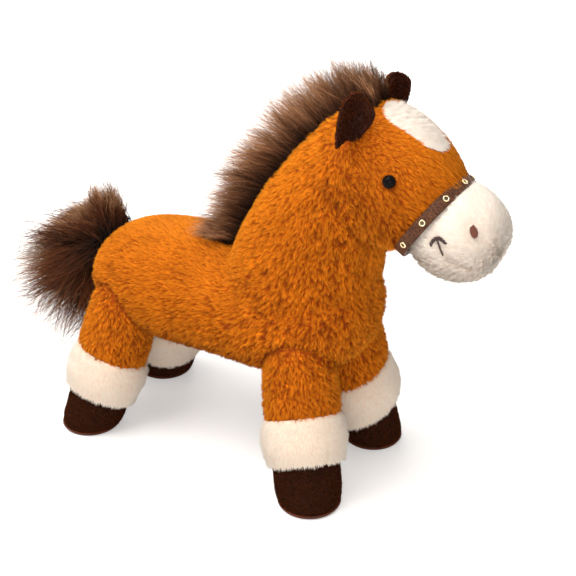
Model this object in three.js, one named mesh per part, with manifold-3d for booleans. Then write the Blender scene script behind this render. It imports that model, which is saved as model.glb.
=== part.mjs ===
import * as THREE from 'three';
import { mergeVertices } from 'three/addons/utils/BufferGeometryUtils.js';
import Module from 'manifold-3d';

// A standing plush horse, made of stuffed bags of pile fabric sewn to one another.
// Millimetres. The horse faces +X, its left side is +Y and its soles stand on Z zero.
// Every stuffed piece is drawn to the tips of its pile.

const wasm = await Module();
wasm.setup();

// Seams and clearances
const seamGap = 0.3;
const overrun = 6;
const weldReach = 1e-4;

// Torso, from rump to chest
const torsoLength = 219;
const torsoWidth = 116;
const torsoHeight = 90;
const torsoMid = new THREE.Vector3(4.5, 0, 115);
const torsoWidthShares = [0.93, 0.98, 0.98, 0.94, 0.9, 0.94, 1.02, 1.04, 1];
const torsoHeightShares = [1.02, 1.05, 1.03, 0.98, 0.95, 0.98, 1.06, 1.13, 1.12];
const torsoLiftShares = [-0.03, -0.01, 0, 0, -0.01, 0.02, 0.06, 0.15, 0.27];
const torsoFullness = 0.58;

// Neck, a bent bag from the shoulders up to the back of the head
const neckBaseAhead = 52.5;
const neckBaseRise = 11;
const neckBendAhead = 12;
const neckBendRise = 64;
const neckTopAhead = 41;
const neckTopRise = 46;
const neckDepth = 102;
const neckWidth = 94;
const neckDepthShares = [1.06, 1.0, 0.9, 0.8, 0.74];
const neckWidthShares = [1.08, 1.0, 0.92, 0.86, 0.84];

// Head, whose long axis drops towards the nose
const headAhead = 10.5;
const headDrop = 9;
const headPitch = THREE.MathUtils.degToRad(34);
const headLength = 100;
const headWidth = 80;
const headHeight = 84;
const headFullness = 0.75;
const headWidthShares = [1, 1, 1, 1.06, 1.16];

// Muzzle, sewn on at a flat seam across the face
const muzzleSeat = 38;
const muzzleAhead = 16.5;
const muzzleRise = 4.2;
const muzzlePitch = THREE.MathUtils.degToRad(24);
const muzzleLength = 62;
const muzzleWidth = 66;
const muzzleHeight = 60;
const muzzleFullness = 0.82;

// Blaze, a white teardrop let into the forehead, wide end at the poll
const blazeThickness = 1.2;
const blazeLength = 45;
const blazeTopRadius = 13.5;
const blazeTipRadius = 9;
const blazeAlong = -5.5;

// Noseband, a strap round the muzzle seam with ring eyelets
const nosebandWidth = 7.5;
const nosebandThickness = 1.4;
const nosebandEdge = 0.5;
const eyeletCount = 7;
const eyeletSpacing = THREE.MathUtils.degToRad(35);
const eyeletRadius = 2.3;
const eyeletBore = 1.1;
const eyeletBarrel = 1.5;
const eyeletFlange = 0.7;

// Safety eyes: a domed head on a stem, held by a washer inside the stuffing
const eyeRadius = 4;
const eyeDome = 2.9;
const eyeSeat = 0.5;
const eyeStem = 1.2;
const eyeStemLength = 9;
const eyeAlong = 8.5;
const eyeAngle = THREE.MathUtils.degToRad(63);
const washerRadius = 5.5;
const washerThickness = 1.2;
const washerDepth = 5;

// Embroidery on the muzzle
const nostrilThickness = 0.9;
const nostrilWidth = 3.9;
const nostrilHeight = 6.6;
const nostrilAlong = 12.4;
const nostrilAngle = THREE.MathUtils.degToRad(48);
const mouthThread = 1.4;
const mouthDrop = THREE.MathUtils.degToRad(52);
const mouthAlong = -2;
const mouthRise = 6;
const mouthCorner = THREE.MathUtils.degToRad(86);
const mouthEnd = THREE.MathUtils.degToRad(42);
const smileWidth = 9.5;
const smileRise = 2.6;

// Ears: a cupped leaf on a raised front corner, and a lining in its hollow
const earHeight = 34;
const earWidth = 24;
const earThickness = 2.2;
const earLining = 1.3;
const earLiningInset = 2;
const earCup = 6.5;
const earTipCurl = 3;
const earCorner = 6;
const earLeafShares = [0.5, 0.68, 0.86, 0.97, 1, 0.9, 0.73, 0.52, 0.3, 0.1];
const earAlong = -25;
const earAngle = THREE.MathUtils.degToRad(72);
const earFold = THREE.MathUtils.degToRad(15);

// The right ear opens to its side, and the left one is bent inwards and opens to the front
const leftEarTurn = THREE.MathUtils.degToRad(-10);
const leftEarRake = THREE.MathUtils.degToRad(-3);
const leftEarLean = THREE.MathUtils.degToRad(24);
const rightEarTurn = THREE.MathUtils.degToRad(30);
const rightEarRake = THREE.MathUtils.degToRad(3);
const rightEarLean = THREE.MathUtils.degToRad(15);

// Legs, each a bag that turns a little in its seam under the torso
const legRadius = 25.5;
const legFootRadius = 27.5;
const hipSwing = THREE.MathUtils.degToRad(12);
const legGap = 11;
const hipDrop = 15;
const frontHipInset = 39;
const rearHipInset = 38;
const legSplay = 15;
const frontReach = 18;
const rearReach = -28;
const cuffTop = 60;
const cuffFoot = 28;
const cuffRadius = 30;
const cuffOutwardSlant = THREE.MathUtils.degToRad(20);
const frontCuffSlant = THREE.MathUtils.degToRad(20);
const rearCuffSlant = THREE.MathUtils.degToRad(-14);
const hoofRadius = 23;
const soleRadius = 20.5;
const soleThickness = 2;

// Mane, a strip of long pile from the poll down to the withers
const maneWidth = 26;
const maneHeight = 36;
const maneRise = 7;
const manePoll = -30;
const maneNape = -43;
const maneNeckShares = [0.75, 0.5, 0.22];
const maneWithers = -18;
const maneFullness = 0.5;

// Tail, a bush of long pile that swings from side to side at the rump
const tailInset = 5;
const tailRise = 23;
const tailPitch = THREE.MathUtils.degToRad(-46);
const tailTuft = 26;
const tailLength = 157;
const tailWidth = 54;
const tailHeight = 74;
const tailHeightShares = [0.94, 1.04, 1.06, 0.92, 0.86];
const tailLiftShares = [-0.05, -0.15, -0.16, 0, 0.32];
const tailFullness = 0.78;
const tailSwing = THREE.MathUtils.degToRad(15);

// Facets
const sidesFine = 28;
const sidesPlain = 20;
const sidesEyelet = 14;
const torsoRings = 22;
const headRings = 16;
const tailRings = 14;
const maneRings = 12;
const neckRings = 10;
const nosebandSteps = 44;

// Solids

function toSolid(geometry) {
  const bare = geometry.clone();
  bare.deleteAttribute('normal');
  bare.deleteAttribute('uv');
  const merged = mergeVertices(bare, weldReach);
  return new wasm.Manifold(
    new wasm.Mesh({
      numProp: 3,
      vertProperties: new Float32Array(merged.attributes.position.array),
      triVerts: new Uint32Array(merged.index.array),
    }),
  );
}

function toGeometry(solid) {
  const mesh = solid.getMesh();
  const geometry = new THREE.BufferGeometry();
  const positions = new Float32Array(mesh.numVert * 3);
  for (let vertex = 0; vertex < mesh.numVert; vertex += 1) {
    for (let axis = 0; axis < 3; axis += 1) {
      positions[vertex * 3 + axis] = mesh.vertProperties[vertex * mesh.numProp + axis];
    }
  }
  geometry.setAttribute('position', new THREE.BufferAttribute(positions, 3));
  geometry.setIndex(Array.from(mesh.triVerts));
  geometry.computeVertexNormals();
  return geometry;
}

// A closed skin through rings of points, with a pole before the first and after the last.
function skinThroughRings(firstPole, rings, lastPole) {
  const sides = rings[0].length;
  const points = [firstPole, ...rings.flat(), lastPole];
  const faces = [];
  for (let side = 0; side < sides; side += 1) {
    const next = (side + 1) % sides;
    faces.push(0, 1 + next, 1 + side);
    for (let ring = 0; ring + 1 < rings.length; ring += 1) {
      const near = 1 + ring * sides;
      const far = near + sides;
      faces.push(near + side, near + next, far + next, near + side, far + next, far + side);
    }
    const lastRing = 1 + (rings.length - 1) * sides;
    faces.push(lastRing + side, lastRing + next, points.length - 1);
  }
  return outwardGeometry(points, faces);
}

// A closed ring of equal sections, such as a strap round a face.
function skinRoundLoop(sections) {
  const corners = sections[0].length;
  const faces = [];
  for (let section = 0; section < sections.length; section += 1) {
    const near = section * corners;
    const far = ((section + 1) % sections.length) * corners;
    for (let corner = 0; corner < corners; corner += 1) {
      const next = (corner + 1) % corners;
      faces.push(near + corner, near + next, far + next, near + corner, far + next, far + corner);
    }
  }
  return outwardGeometry(sections.flat(), faces);
}

function outwardGeometry(points, faces) {
  let volume = 0;
  for (let face = 0; face < faces.length; face += 3) {
    const [a, b, c] = [points[faces[face]], points[faces[face + 1]], points[faces[face + 2]]];
    volume += a.dot(new THREE.Vector3().crossVectors(b, c));
  }
  const geometry = new THREE.BufferGeometry();
  geometry.setFromPoints(points);
  geometry.setIndex(volume > 0 ? faces : faces.slice().reverse());
  return geometry;
}

function shareAt(shares, place) {
  const curve = new THREE.SplineCurve(shares.map((share, index) => new THREE.Vector2(index, share)));
  return curve.getPoint(THREE.MathUtils.clamp(place, 0, 1)).y;
}

// A stuffed bag: a swollen barrel about a long axis in the plane of symmetry.
class StuffedForm {
  constructor({ mid, pitch, length, width, height, fullness, widthShares, heightShares, liftShares }) {
    this.mid = mid;
    this.forward = new THREE.Vector3(Math.cos(pitch), 0, -Math.sin(pitch));
    this.up = new THREE.Vector3(Math.sin(pitch), 0, Math.cos(pitch));
    this.halfLength = length / 2;
    this.halfWidth = width / 2;
    this.halfHeight = height / 2;
    this.fullness = fullness;
    this.widthShares = widthShares ?? [1, 1];
    this.heightShares = heightShares ?? [1, 1];
    this.liftShares = liftShares ?? [0, 0];
  }

  section(along, grow = 0) {
    const place = along / this.halfLength / 2 + 0.5;
    return {
      lift: this.halfHeight * shareAt(this.liftShares, place),
      halfWidth: this.halfWidth * shareAt(this.widthShares, place) + grow,
      halfHeight: this.halfHeight * shareAt(this.heightShares, place) + grow,
    };
  }

  skin(rings, sides, grow = 0) {
    const loops = [];
    const ends = [-1, 1].map((end) => {
      const along = end * (this.halfLength + grow);
      return this.mid
        .clone()
        .addScaledVector(this.forward, along)
        .addScaledVector(this.up, this.section(along).lift);
    });
    for (let ring = 1; ring < rings; ring += 1) {
      const turn = (Math.PI * ring) / rings;
      const along = -Math.cos(turn) * (this.halfLength + grow);
      const fill = Math.sin(turn) ** this.fullness;
      const { lift, halfWidth, halfHeight } = this.section(along, grow);
      const loop = [];
      for (let side = 0; side < sides; side += 1) {
        const angle = (2 * Math.PI * side) / sides;
        const point = this.mid
          .clone()
          .addScaledVector(this.forward, along)
          .addScaledVector(this.up, lift + fill * halfHeight * Math.cos(angle));
        point.y += fill * halfWidth * Math.sin(angle);
        loop.push(point);
      }
      loops.push(loop);
    }
    return skinThroughRings(ends[0], loops, ends[1]);
  }

  // Below zero inside the form, above zero outside it.
  depth(point) {
    const offset = point.clone().sub(this.mid);
    const along = offset.dot(this.forward);
    const { lift, halfWidth, halfHeight } = this.section(along);
    const rise = (offset.dot(this.up) - lift) / halfHeight;
    const spread = offset.y / halfWidth;
    return (along / this.halfLength) ** 2 + Math.hypot(rise, spread) ** (2 / this.fullness) - 1;
  }

  // The point and the outward normal where a ray from inside leaves the form.
  surfaceFrom(origin, direction) {
    let inside = 0;
    let outside = 2 * (this.halfLength + this.halfHeight);
    for (let step = 0; step < 40; step += 1) {
      const middle = (inside + outside) / 2;
      if (this.depth(origin.clone().addScaledVector(direction, middle)) < 0) inside = middle;
      else outside = middle;
    }
    const point = origin.clone().addScaledVector(direction, inside);
    const nudge = seamGap;
    const normal = new THREE.Vector3();
    for (const axis of ['x', 'y', 'z']) {
      const ahead = point.clone();
      const behind = point.clone();
      ahead[axis] += nudge;
      behind[axis] -= nudge;
      normal[axis] = this.depth(ahead) - this.depth(behind);
    }
    return { point, normal: normal.normalize() };
  }

  // The surface at a distance along the axis and an angle from its top ridge.
  surfaceAt(along, angle) {
    const origin = this.mid.clone().addScaledVector(this.forward, along);
    const direction = this.up.clone().multiplyScalar(Math.cos(angle));
    direction.y = Math.sin(angle);
    return this.surfaceFrom(origin, direction);
  }
}

// A frame at a point of a surface: its Z is the outward normal and its Y leans to the given way up.
function frameAt({ point, normal }, wayUp) {
  const side = new THREE.Vector3().crossVectors(wayUp, normal).normalize();
  const rise = new THREE.Vector3().crossVectors(normal, side);
  return new THREE.Matrix4().makeBasis(side, rise, normal).setPosition(point);
}

const turned = new THREE.Matrix4().makeRotationX(Math.PI / 2);

// A turned shape about the local Z axis, from a profile of radius and height.
function turnedShape(profile, sides) {
  return new THREE.LatheGeometry(
    profile.map(([radius, height]) => new THREE.Vector2(radius, height)),
    sides,
  ).applyMatrix4(turned);
}

// All that lies in front of a plane, out to a reach that clears the horse.
function slabInFront(point, normal, reach) {
  const block = new THREE.BoxGeometry(reach, reach, reach);
  block.translate(0, 0, reach / 2);
  const side = Math.abs(normal.y) > 0.9 ? new THREE.Vector3(1, 0, 0) : new THREE.Vector3(0, 1, 0);
  return toSolid(block.applyMatrix4(frameAt({ point, normal }, side)));
}

const clearReach = 2 * torsoLength;

// Places, each set off from the piece it is sewn to

const torsoFront = torsoMid.x + torsoLength / 2;
const torsoRear = torsoMid.x - torsoLength / 2;
const hipY = legRadius + legGap / 2;
const hipZ = torsoMid.z - hipDrop;

const offset = (from, ahead, rise) => new THREE.Vector3(from.x + ahead, 0, from.z + rise);
const neckBase = offset(torsoMid, neckBaseAhead, neckBaseRise);
const neckBend = offset(neckBase, neckBendAhead, neckBendRise);
const neckTop = offset(neckBend, neckTopAhead, neckTopRise);
const headMid = offset(neckTop, headAhead, -headDrop);
const tailRoot = new THREE.Vector3(torsoRear + tailInset, 0, torsoMid.z + tailRise);

// Forms that several pieces share

const torsoForm = new StuffedForm({
  mid: torsoMid,
  pitch: 0,
  length: torsoLength,
  width: torsoWidth,
  height: torsoHeight,
  fullness: torsoFullness,
  widthShares: torsoWidthShares,
  heightShares: torsoHeightShares,
  liftShares: torsoLiftShares,
});

const headForm = new StuffedForm({
  mid: headMid,
  pitch: headPitch,
  length: headLength,
  width: headWidth,
  height: headHeight,
  fullness: headFullness,
  widthShares: headWidthShares,
});

const muzzleSeam = headMid.clone().addScaledVector(headForm.forward, muzzleSeat);

const muzzleForm = new StuffedForm({
  mid: muzzleSeam
    .clone()
    .addScaledVector(headForm.forward, muzzleAhead)
    .addScaledVector(headForm.up, muzzleRise),
  pitch: muzzlePitch,
  length: muzzleLength,
  width: muzzleWidth,
  height: muzzleHeight,
  fullness: muzzleFullness,
});

const torsoSkin = (grow) => toSolid(torsoForm.skin(torsoRings, sidesFine, grow));
const headSkin = (grow) => toSolid(headForm.skin(headRings, sidesFine, grow));
const muzzleSkin = (grow) => toSolid(muzzleForm.skin(headRings, sidesFine, grow));

const neckSpine = new THREE.QuadraticBezierCurve3(neckBase, neckBend, neckTop);

// The neck's section at a share of its spine: the angle runs from the ridge at its back.
function neckPoint(place, angle, grow = 0) {
  const along = neckSpine.getTangent(place);
  const back = new THREE.Vector3(-along.z, 0, along.x);
  const depth = (neckDepth / 2) * shareAt(neckDepthShares, place) + grow;
  const width = (neckWidth / 2) * shareAt(neckWidthShares, place) + grow;
  const point = neckSpine.getPoint(place).addScaledVector(back, depth * Math.cos(angle));
  point.y += width * Math.sin(angle);
  return point;
}

function neckSkin(grow) {
  const loops = Array.from({ length: neckRings + 1 }, (_, ring) =>
    Array.from({ length: sidesFine }, (_, side) =>
      neckPoint(ring / neckRings, (2 * Math.PI * side) / sidesFine, grow),
    ),
  );
  return toSolid(skinThroughRings(neckBase, loops, neckTop));
}

// Legs

const sides = [
  ['left', 1],
  ['right', -1],
];

const legs = [];
for (const [end, hipX, reach, slant] of [
  ['front', torsoFront - frontHipInset, frontReach, frontCuffSlant],
  ['rear', torsoRear + rearHipInset, rearReach, rearCuffSlant],
]) {
  for (const [side, sign] of sides) {
    const hip = new THREE.Vector3(hipX, sign * hipY, hipZ);
    const sole = new THREE.Vector3(hipX + reach, sign * (hipY + legSplay), 0);
    legs.push({ name: `${end}_${side}`, hip, sole, slant });
  }
}

// Where the leg's centre line passes a height above the floor.
function legCentre({ hip, sole }, height) {
  return hip.clone().lerp(sole, (hip.z - height) / hip.z);
}

// A ring round the leg's centre line, square to the line.
function legLoop(leg, below, halfX, halfY, sides) {
  const axis = leg.sole.clone().sub(leg.hip).normalize();
  const across = new THREE.Vector3().crossVectors(axis, new THREE.Vector3(1, 0, 0)).normalize();
  const ahead = new THREE.Vector3().crossVectors(across, axis);
  const centre = leg.hip.clone().addScaledVector(axis, below);
  return Array.from({ length: sides }, (_, side) => {
    const angle = (2 * Math.PI * side) / sides;
    return centre
      .clone()
      .addScaledVector(ahead, halfX * Math.cos(angle))
      .addScaledVector(across, halfY * Math.sin(angle));
  });
}

// The leg as one bag, from its ball in the hip down to its foot, with room to swing if asked for.
function legSkin(leg, profile, grow = 0, swing = 0) {
  const axis = leg.sole.clone().sub(leg.hip).normalize();
  const loops = profile.map(([below, radius]) => {
    const ahead = Math.tan(swing) * Math.max(below, 0);
    const across = Math.sin(swing) * (legSplay / hipZ) * THREE.MathUtils.clamp(2 * below, 0, radius);
    return legLoop(leg, below, radius + grow + ahead, radius + grow + across, sidesPlain);
  });
  const top = leg.hip.clone().addScaledVector(axis, -legRadius - grow);
  const foot = leg.hip.clone().addScaledVector(axis, profile.at(-1)[0]);
  return toSolid(skinThroughRings(top, loops, foot));
}

function hipBall() {
  const rings = 5;
  return Array.from({ length: rings }, (_, ring) => {
    const rise = (Math.PI / 2) * (1 - (ring + 1) / rings);
    return [-legRadius * Math.sin(rise), legRadius * Math.cos(rise)];
  });
}

function legProfile() {
  const cuffMid = (cuffTop + cuffFoot) / 2;
  const swell = (legFootRadius + 3 * cuffRadius) / 4;
  return [
    ...hipBall(),
    [(hipZ - cuffTop) / 2, (legRadius + legFootRadius) / 2],
    [hipZ - cuffTop, legFootRadius],
    [hipZ - (cuffTop + cuffMid) / 2, swell],
    [hipZ - cuffMid, cuffRadius],
    [hipZ - (cuffFoot + cuffMid) / 2, swell],
    [hipZ - cuffFoot, legFootRadius],
    [hipZ, legFootRadius],
  ];
}

// The room in the torso in which the leg's ball and thigh swing to and fro.
function hipSocket(leg) {
  const facetPlay = 2 * legRadius * (1 - Math.cos(Math.PI / sidesPlain));
  const profile = [
    ...hipBall(),
    [legRadius / 2, (legRadius + legFootRadius) / 2],
    [hipZ - cuffTop, legFootRadius],
    [hipZ, legFootRadius],
  ];
  return legSkin(leg, profile, seamGap + facetPlay, hipSwing);
}

const up = new THREE.Vector3(0, 0, 1);
const down = new THREE.Vector3(0, 0, -1);

// The seams round a leg slant: the outer side is raised, and so is the side it leans to.
function seamNormal(leg) {
  return new THREE.Vector3(
    -Math.sin(leg.slant),
    -Math.sign(leg.hip.y) * Math.sin(cuffOutwardSlant),
    Math.cos(leg.slant) * Math.cos(cuffOutwardSlant),
  ).normalize();
}

function hoofSkin(leg) {
  const bevel = hoofRadius - soleRadius;
  const profile = [
    [cuffTop, hoofRadius],
    [bevel, hoofRadius],
    [bevel / 4, hoofRadius - bevel / 4],
    [0, soleRadius],
  ];
  const loops = profile.map(([height, radius]) => {
    const centre = legCentre(leg, height);
    return Array.from({ length: sidesPlain }, (_, side) => {
      const angle = (2 * Math.PI * side) / sidesPlain;
      const offset = new THREE.Vector3(Math.cos(angle), Math.sin(angle), 0);
      return centre.clone().addScaledVector(offset, radius);
    });
  });
  return toSolid(skinThroughRings(legCentre(leg, cuffTop), loops, leg.sole));
}

function legPieces(leg) {
  const normal = seamNormal(leg);
  const against = normal.clone().negate();
  const bag = legSkin(leg, legProfile());
  const hoof = hoofSkin(leg);
  const topSeam = legCentre(leg, cuffTop);
  const footSeam = legCentre(leg, cuffFoot);
  const below = (seam) => seam.clone().addScaledVector(against, seamGap);
  const soleTop = new THREE.Vector3(0, 0, soleThickness);
  return {
    leg: bag.subtract(slabInFront(topSeam, against, clearReach)),
    cuff: bag
      .subtract(slabInFront(below(topSeam), normal, clearReach))
      .subtract(slabInFront(footSeam, against, clearReach)),
    hoof: hoof
      .subtract(slabInFront(below(footSeam), normal, clearReach))
      .subtract(slabInFront(soleTop, down, clearReach)),
    sole: hoof.subtract(slabInFront(soleTop.clone().addScaledVector(down, seamGap), up, clearReach)),
  };
}

// Fittings of the head

function eyePocket() {
  const stemHole = eyeStem + seamGap;
  const slotTop = -washerDepth + seamGap;
  const slotFoot = -washerDepth - washerThickness - seamGap;
  return turnedShape(
    [
      [0, -eyeStemLength - seamGap],
      [stemHole, -eyeStemLength - seamGap],
      [stemHole, slotFoot],
      [washerRadius + seamGap, slotFoot],
      [washerRadius + seamGap, slotTop],
      [stemHole, slotTop],
      [stemHole, -eyeSeat - seamGap],
      [eyeRadius + seamGap, -eyeSeat - seamGap],
      [eyeRadius + seamGap, overrun],
      [0, overrun],
    ],
    sidesPlain,
  );
}

function eyeShape() {
  const steps = 5;
  const dome = Array.from({ length: steps + 1 }, (_, step) => {
    const rise = (Math.PI / 2) * (step / steps);
    return [eyeRadius * Math.cos(rise), (eyeDome + eyeSeat) * Math.sin(rise) - eyeSeat];
  });
  dome[steps][0] = 0;
  return turnedShape(
    [[0, -eyeStemLength], [eyeStem, -eyeStemLength], [eyeStem, -eyeSeat], ...dome],
    sidesPlain,
  );
}

function washerShape() {
  const bore = eyeStem + seamGap;
  const foot = -washerDepth - washerThickness;
  return turnedShape(
    [
      [bore, foot],
      [washerRadius, foot],
      [washerRadius, -washerDepth],
      [bore, -washerDepth],
      [bore, foot],
    ],
    sidesPlain,
  );
}

// A thin patch that lies on a form inside an outline drawn on the surface there.
function patchOn(skin, frame, outline, thickness) {
  const prism = new THREE.ExtrudeGeometry(outline, {
    depth: 4 * overrun,
    bevelEnabled: false,
    curveSegments: 8,
  });
  prism.translate(0, 0, -2 * overrun);
  return skin(thickness + seamGap)
    .intersect(toSolid(prism.applyMatrix4(frame)))
    .subtract(skin(seamGap));
}

// A teardrop about its middle, with its tip towards minus Y.
function blazeOutline() {
  const outline = new THREE.Shape();
  const topY = blazeLength / 2 - blazeTopRadius;
  const tipY = blazeTipRadius - blazeLength / 2;
  const lean = Math.asin((blazeTopRadius - blazeTipRadius) / (topY - tipY));
  outline.absarc(0, topY, blazeTopRadius, -lean, Math.PI + lean);
  outline.absarc(0, tipY, blazeTipRadius, Math.PI + lean, 2 * Math.PI - lean);
  outline.closePath();
  return outline;
}

function ovalOutline(width, height) {
  const outline = new THREE.Shape();
  outline.absellipse(0, 0, width / 2, height / 2, 0, 2 * Math.PI);
  return outline;
}

// The noseband's ellipse lies on the seam between head and muzzle.
function seamEllipse() {
  const top = headForm.surfaceAt(muzzleSeat, 0).point.distanceTo(muzzleSeam);
  const side = headForm.surfaceAt(muzzleSeat, Math.PI / 2).point.distanceTo(muzzleSeam);
  return { top, side };
}

function nosebandPoint(angle, outward, along) {
  const { top, side } = seamEllipse();
  const point = muzzleSeam
    .clone()
    .addScaledVector(headForm.up, top * Math.cos(angle))
    .addScaledVector(headForm.forward, along);
  point.y += side * Math.sin(angle);
  return point.addScaledVector(nosebandNormal(angle), outward);
}

function nosebandNormal(angle) {
  const { top, side } = seamEllipse();
  const normal = headForm.up.clone().multiplyScalar(Math.cos(angle) / top);
  normal.y = Math.sin(angle) / side;
  return normal.normalize();
}

function nosebandSolid() {
  const outer = seamGap + nosebandThickness;
  const half = nosebandWidth / 2;
  const sections = [];
  for (let step = 0; step < nosebandSteps; step += 1) {
    const angle = (2 * Math.PI * step) / nosebandSteps;
    sections.push([
      nosebandPoint(angle, -overrun, -half),
      nosebandPoint(angle, outer - nosebandEdge, -half),
      nosebandPoint(angle, outer, -half + nosebandEdge),
      nosebandPoint(angle, outer, half - nosebandEdge),
      nosebandPoint(angle, outer - nosebandEdge, half),
      nosebandPoint(angle, -overrun, half),
    ]);
  }
  return toSolid(skinRoundLoop(sections));
}

function eyeletFrame(index) {
  const angle = (index - (eyeletCount - 1) / 2) * eyeletSpacing;
  const normal = nosebandNormal(angle);
  const point = nosebandPoint(angle, seamGap + nosebandThickness, 0);
  return frameAt({ point, normal }, headForm.forward);
}

function eyeletShape() {
  const barrelFoot = -nosebandThickness / 2;
  const crown = (eyeletRadius + eyeletBore) / 2;
  return turnedShape(
    [
      [eyeletBore, barrelFoot],
      [eyeletBarrel, barrelFoot],
      [eyeletBarrel, seamGap],
      [eyeletRadius, seamGap],
      [eyeletRadius - seamGap, eyeletFlange],
      [crown, eyeletFlange + seamGap],
      [eyeletBore, eyeletFlange],
      [eyeletBore, barrelFoot],
    ],
    sidesEyelet,
  );
}

function eyeletHole() {
  const radius = eyeletBarrel + seamGap;
  const foot = -nosebandThickness - overrun;
  return turnedShape([[0, foot], [radius, foot], [radius, overrun], [0, overrun]], sidesEyelet);
}

// A thread laid on the muzzle through a list of points.
function threadAlong(points) {
  const curve = new THREE.CatmullRomCurve3(points);
  const section = new THREE.Shape();
  section.absarc(0, 0, mouthThread / 2, 0, 2 * Math.PI);
  return toSolid(
    new THREE.ExtrudeGeometry(section, {
      extrudePath: curve,
      steps: 3 * points.length,
      curveSegments: 3,
      bevelEnabled: false,
    }),
  );
}

// Each side's mouth line drops round the muzzle in one slanted plane, from its corner.
function mouthPoints(sign) {
  const origin = muzzleForm.mid
    .clone()
    .addScaledVector(muzzleForm.forward, mouthAlong)
    .addScaledVector(muzzleForm.up, mouthRise);
  const steps = 5;
  return Array.from({ length: steps }, (_, step) => {
    const angle = sign * THREE.MathUtils.lerp(mouthCorner, mouthEnd, step / (steps - 1));
    const direction = new THREE.Vector3(
      Math.cos(mouthDrop) * Math.cos(angle),
      Math.sin(angle),
      -Math.sin(mouthDrop) * Math.cos(angle),
    );
    return threadPoint(muzzleForm.surfaceFrom(origin, direction));
  });
}

function threadPoint({ point, normal }) {
  return point.clone().addScaledVector(normal, mouthThread / 2);
}

// The little arch over each corner of the mouth.
function smilePoints(corner) {
  return [-1, -0.5, 0, 0.5, 1].map((share) => {
    const aim = corner
      .clone()
      .addScaledVector(muzzleForm.forward, (share * smileWidth) / 2)
      .addScaledVector(muzzleForm.up, -smileRise * share * share)
      .sub(muzzleForm.mid);
    return threadPoint(muzzleForm.surfaceFrom(muzzleForm.mid, aim.normalize()));
  });
}

function mouthSolid(sign) {
  const line = mouthPoints(sign);
  const arch = threadAlong(smilePoints(line[0]));
  return threadAlong(line).add(arch).subtract(muzzleSkin(seamGap));
}

// Ears

const liningFront = earThickness + seamGap;

// A cupped leaf between two depths of its fabric, standing on its root along Z.
function leafSolid(heelSide, front, back, inset) {
  const rows = earLeafShares.length - 1;
  const columns = 8;
  const grid = (depth) => {
    const points = [];
    for (let row = 0; row <= rows; row += 1) {
      const climb = Math.sin((Math.PI * row) / rows / 2);
      const half = Math.max(earWidth / 2 - inset, 0);
      for (let column = 0; column <= columns; column += 1) {
        const across = (2 * column) / columns - 1;
        const corner = earCorner * (1 - Math.max(heelSide * across, 0)) * (1 - climb) ** 2;
        const aside = half * across * earLeafShares[row];
        const height = inset + (earHeight - 2 * inset) * climb + corner;
        const cup = earCup * ((2 * aside) / earWidth) ** 2;
        const curl = earTipCurl * (height / earHeight) ** 2;
        points.push(new THREE.Vector3(aside, cup + curl + depth, height));
      }
    }
    return points;
  };
  const stride = columns + 1;
  const points = [...grid(front), ...grid(back)];
  const far = (rows + 1) * stride;
  const faces = [];
  const quad = (a, b, c, d) => faces.push(a, b, c, a, c, d);
  for (let row = 0; row < rows; row += 1) {
    for (let column = 0; column < columns; column += 1) {
      const here = row * stride + column;
      quad(here, here + 1, here + 1 + stride, here + stride);
      quad(far + here, far + here + stride, far + here + 1 + stride, far + here + 1);
    }
    const left = row * stride;
    const right = left + columns;
    quad(left, left + stride, far + left + stride, far + left);
    quad(right, far + right, far + right + stride, right + stride);
  }
  for (let column = 0; column < columns; column += 1) {
    const top = rows * stride + column;
    quad(column, far + column, far + column + 1, column + 1);
    quad(top, top + 1, far + top + 1, far + top);
  }
  return outwardGeometry(points, faces);
}

// The ear's frame: Z up the leaf, X across it and Y out of its hollow.
function earFrame(sign) {
  const [turn, rake, lean] =
    sign > 0 ? [leftEarTurn, leftEarRake, leftEarLean] : [rightEarTurn, rightEarRake, rightEarLean];
  const frame = new THREE.Matrix4().makeRotationZ(sign * turn - Math.PI / 2);
  frame.premultiply(new THREE.Matrix4().makeRotationY(rake));
  frame.premultiply(new THREE.Matrix4().makeRotationX(sign * lean));
  return frame.setPosition(headForm.surfaceAt(earAlong, sign * earAngle).point);
}

function earPieces(sign) {
  const frame = earFrame(sign);
  const outer = leafSolid(-sign, 0, earThickness, 0);
  const lining = leafSolid(-sign, liningFront, liningFront + earLining, earLiningInset);
  return {
    outer: toSolid(outer.applyMatrix4(frame)),
    lining: toSolid(lining.applyMatrix4(frame)),
  };
}

// The room that an ear needs as it folds to and fro about its root.
function earRoom(sign) {
  const frame = earFrame(sign);
  const room = leafSolid(-sign, -seamGap, liningFront + earLining + seamGap, -seamGap);
  const folds = [-1, -0.5, 0, 0.5, 1].map((share) => {
    const fold = new THREE.Matrix4().makeRotationX(share * earFold);
    return toSolid(room.clone().applyMatrix4(fold).applyMatrix4(frame));
  });
  return folds.reduce((all, each) => all.add(each));
}

// Long pile

function maneSkin() {
  const crest = new THREE.CatmullRomCurve3([
    headForm.surfaceAt(manePoll, 0).point,
    headForm.surfaceAt(maneNape, 0).point,
    ...maneNeckShares.map((share) => neckPoint(share, 0)),
    torsoForm.surfaceAt(maneWithers, 0).point,
  ]);
  const loops = [];
  for (let ring = 1; ring < maneRings; ring += 1) {
    const turn = (Math.PI * ring) / maneRings;
    const place = (1 - Math.cos(turn)) / 2;
    const fill = Math.sin(turn) ** maneFullness;
    const centre = crest.getPointAt(place);
    const along = crest.getTangentAt(place);
    const out = new THREE.Vector3(along.z, 0, -along.x);
    const loop = [];
    for (let side = 0; side < sidesPlain; side += 1) {
      const angle = (2 * Math.PI * side) / sidesPlain;
      const height = maneRise + (maneHeight / 2) * Math.cos(angle);
      const point = centre.clone().addScaledVector(out, fill * height);
      point.y += (fill * maneWidth * Math.sin(angle)) / 2;
      loop.push(point);
    }
    loops.push(loop);
  }
  const ends = [0, 1].map((place) => crest.getPointAt(place));
  return toSolid(skinThroughRings(ends[0], loops, ends[1]));
}

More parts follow.
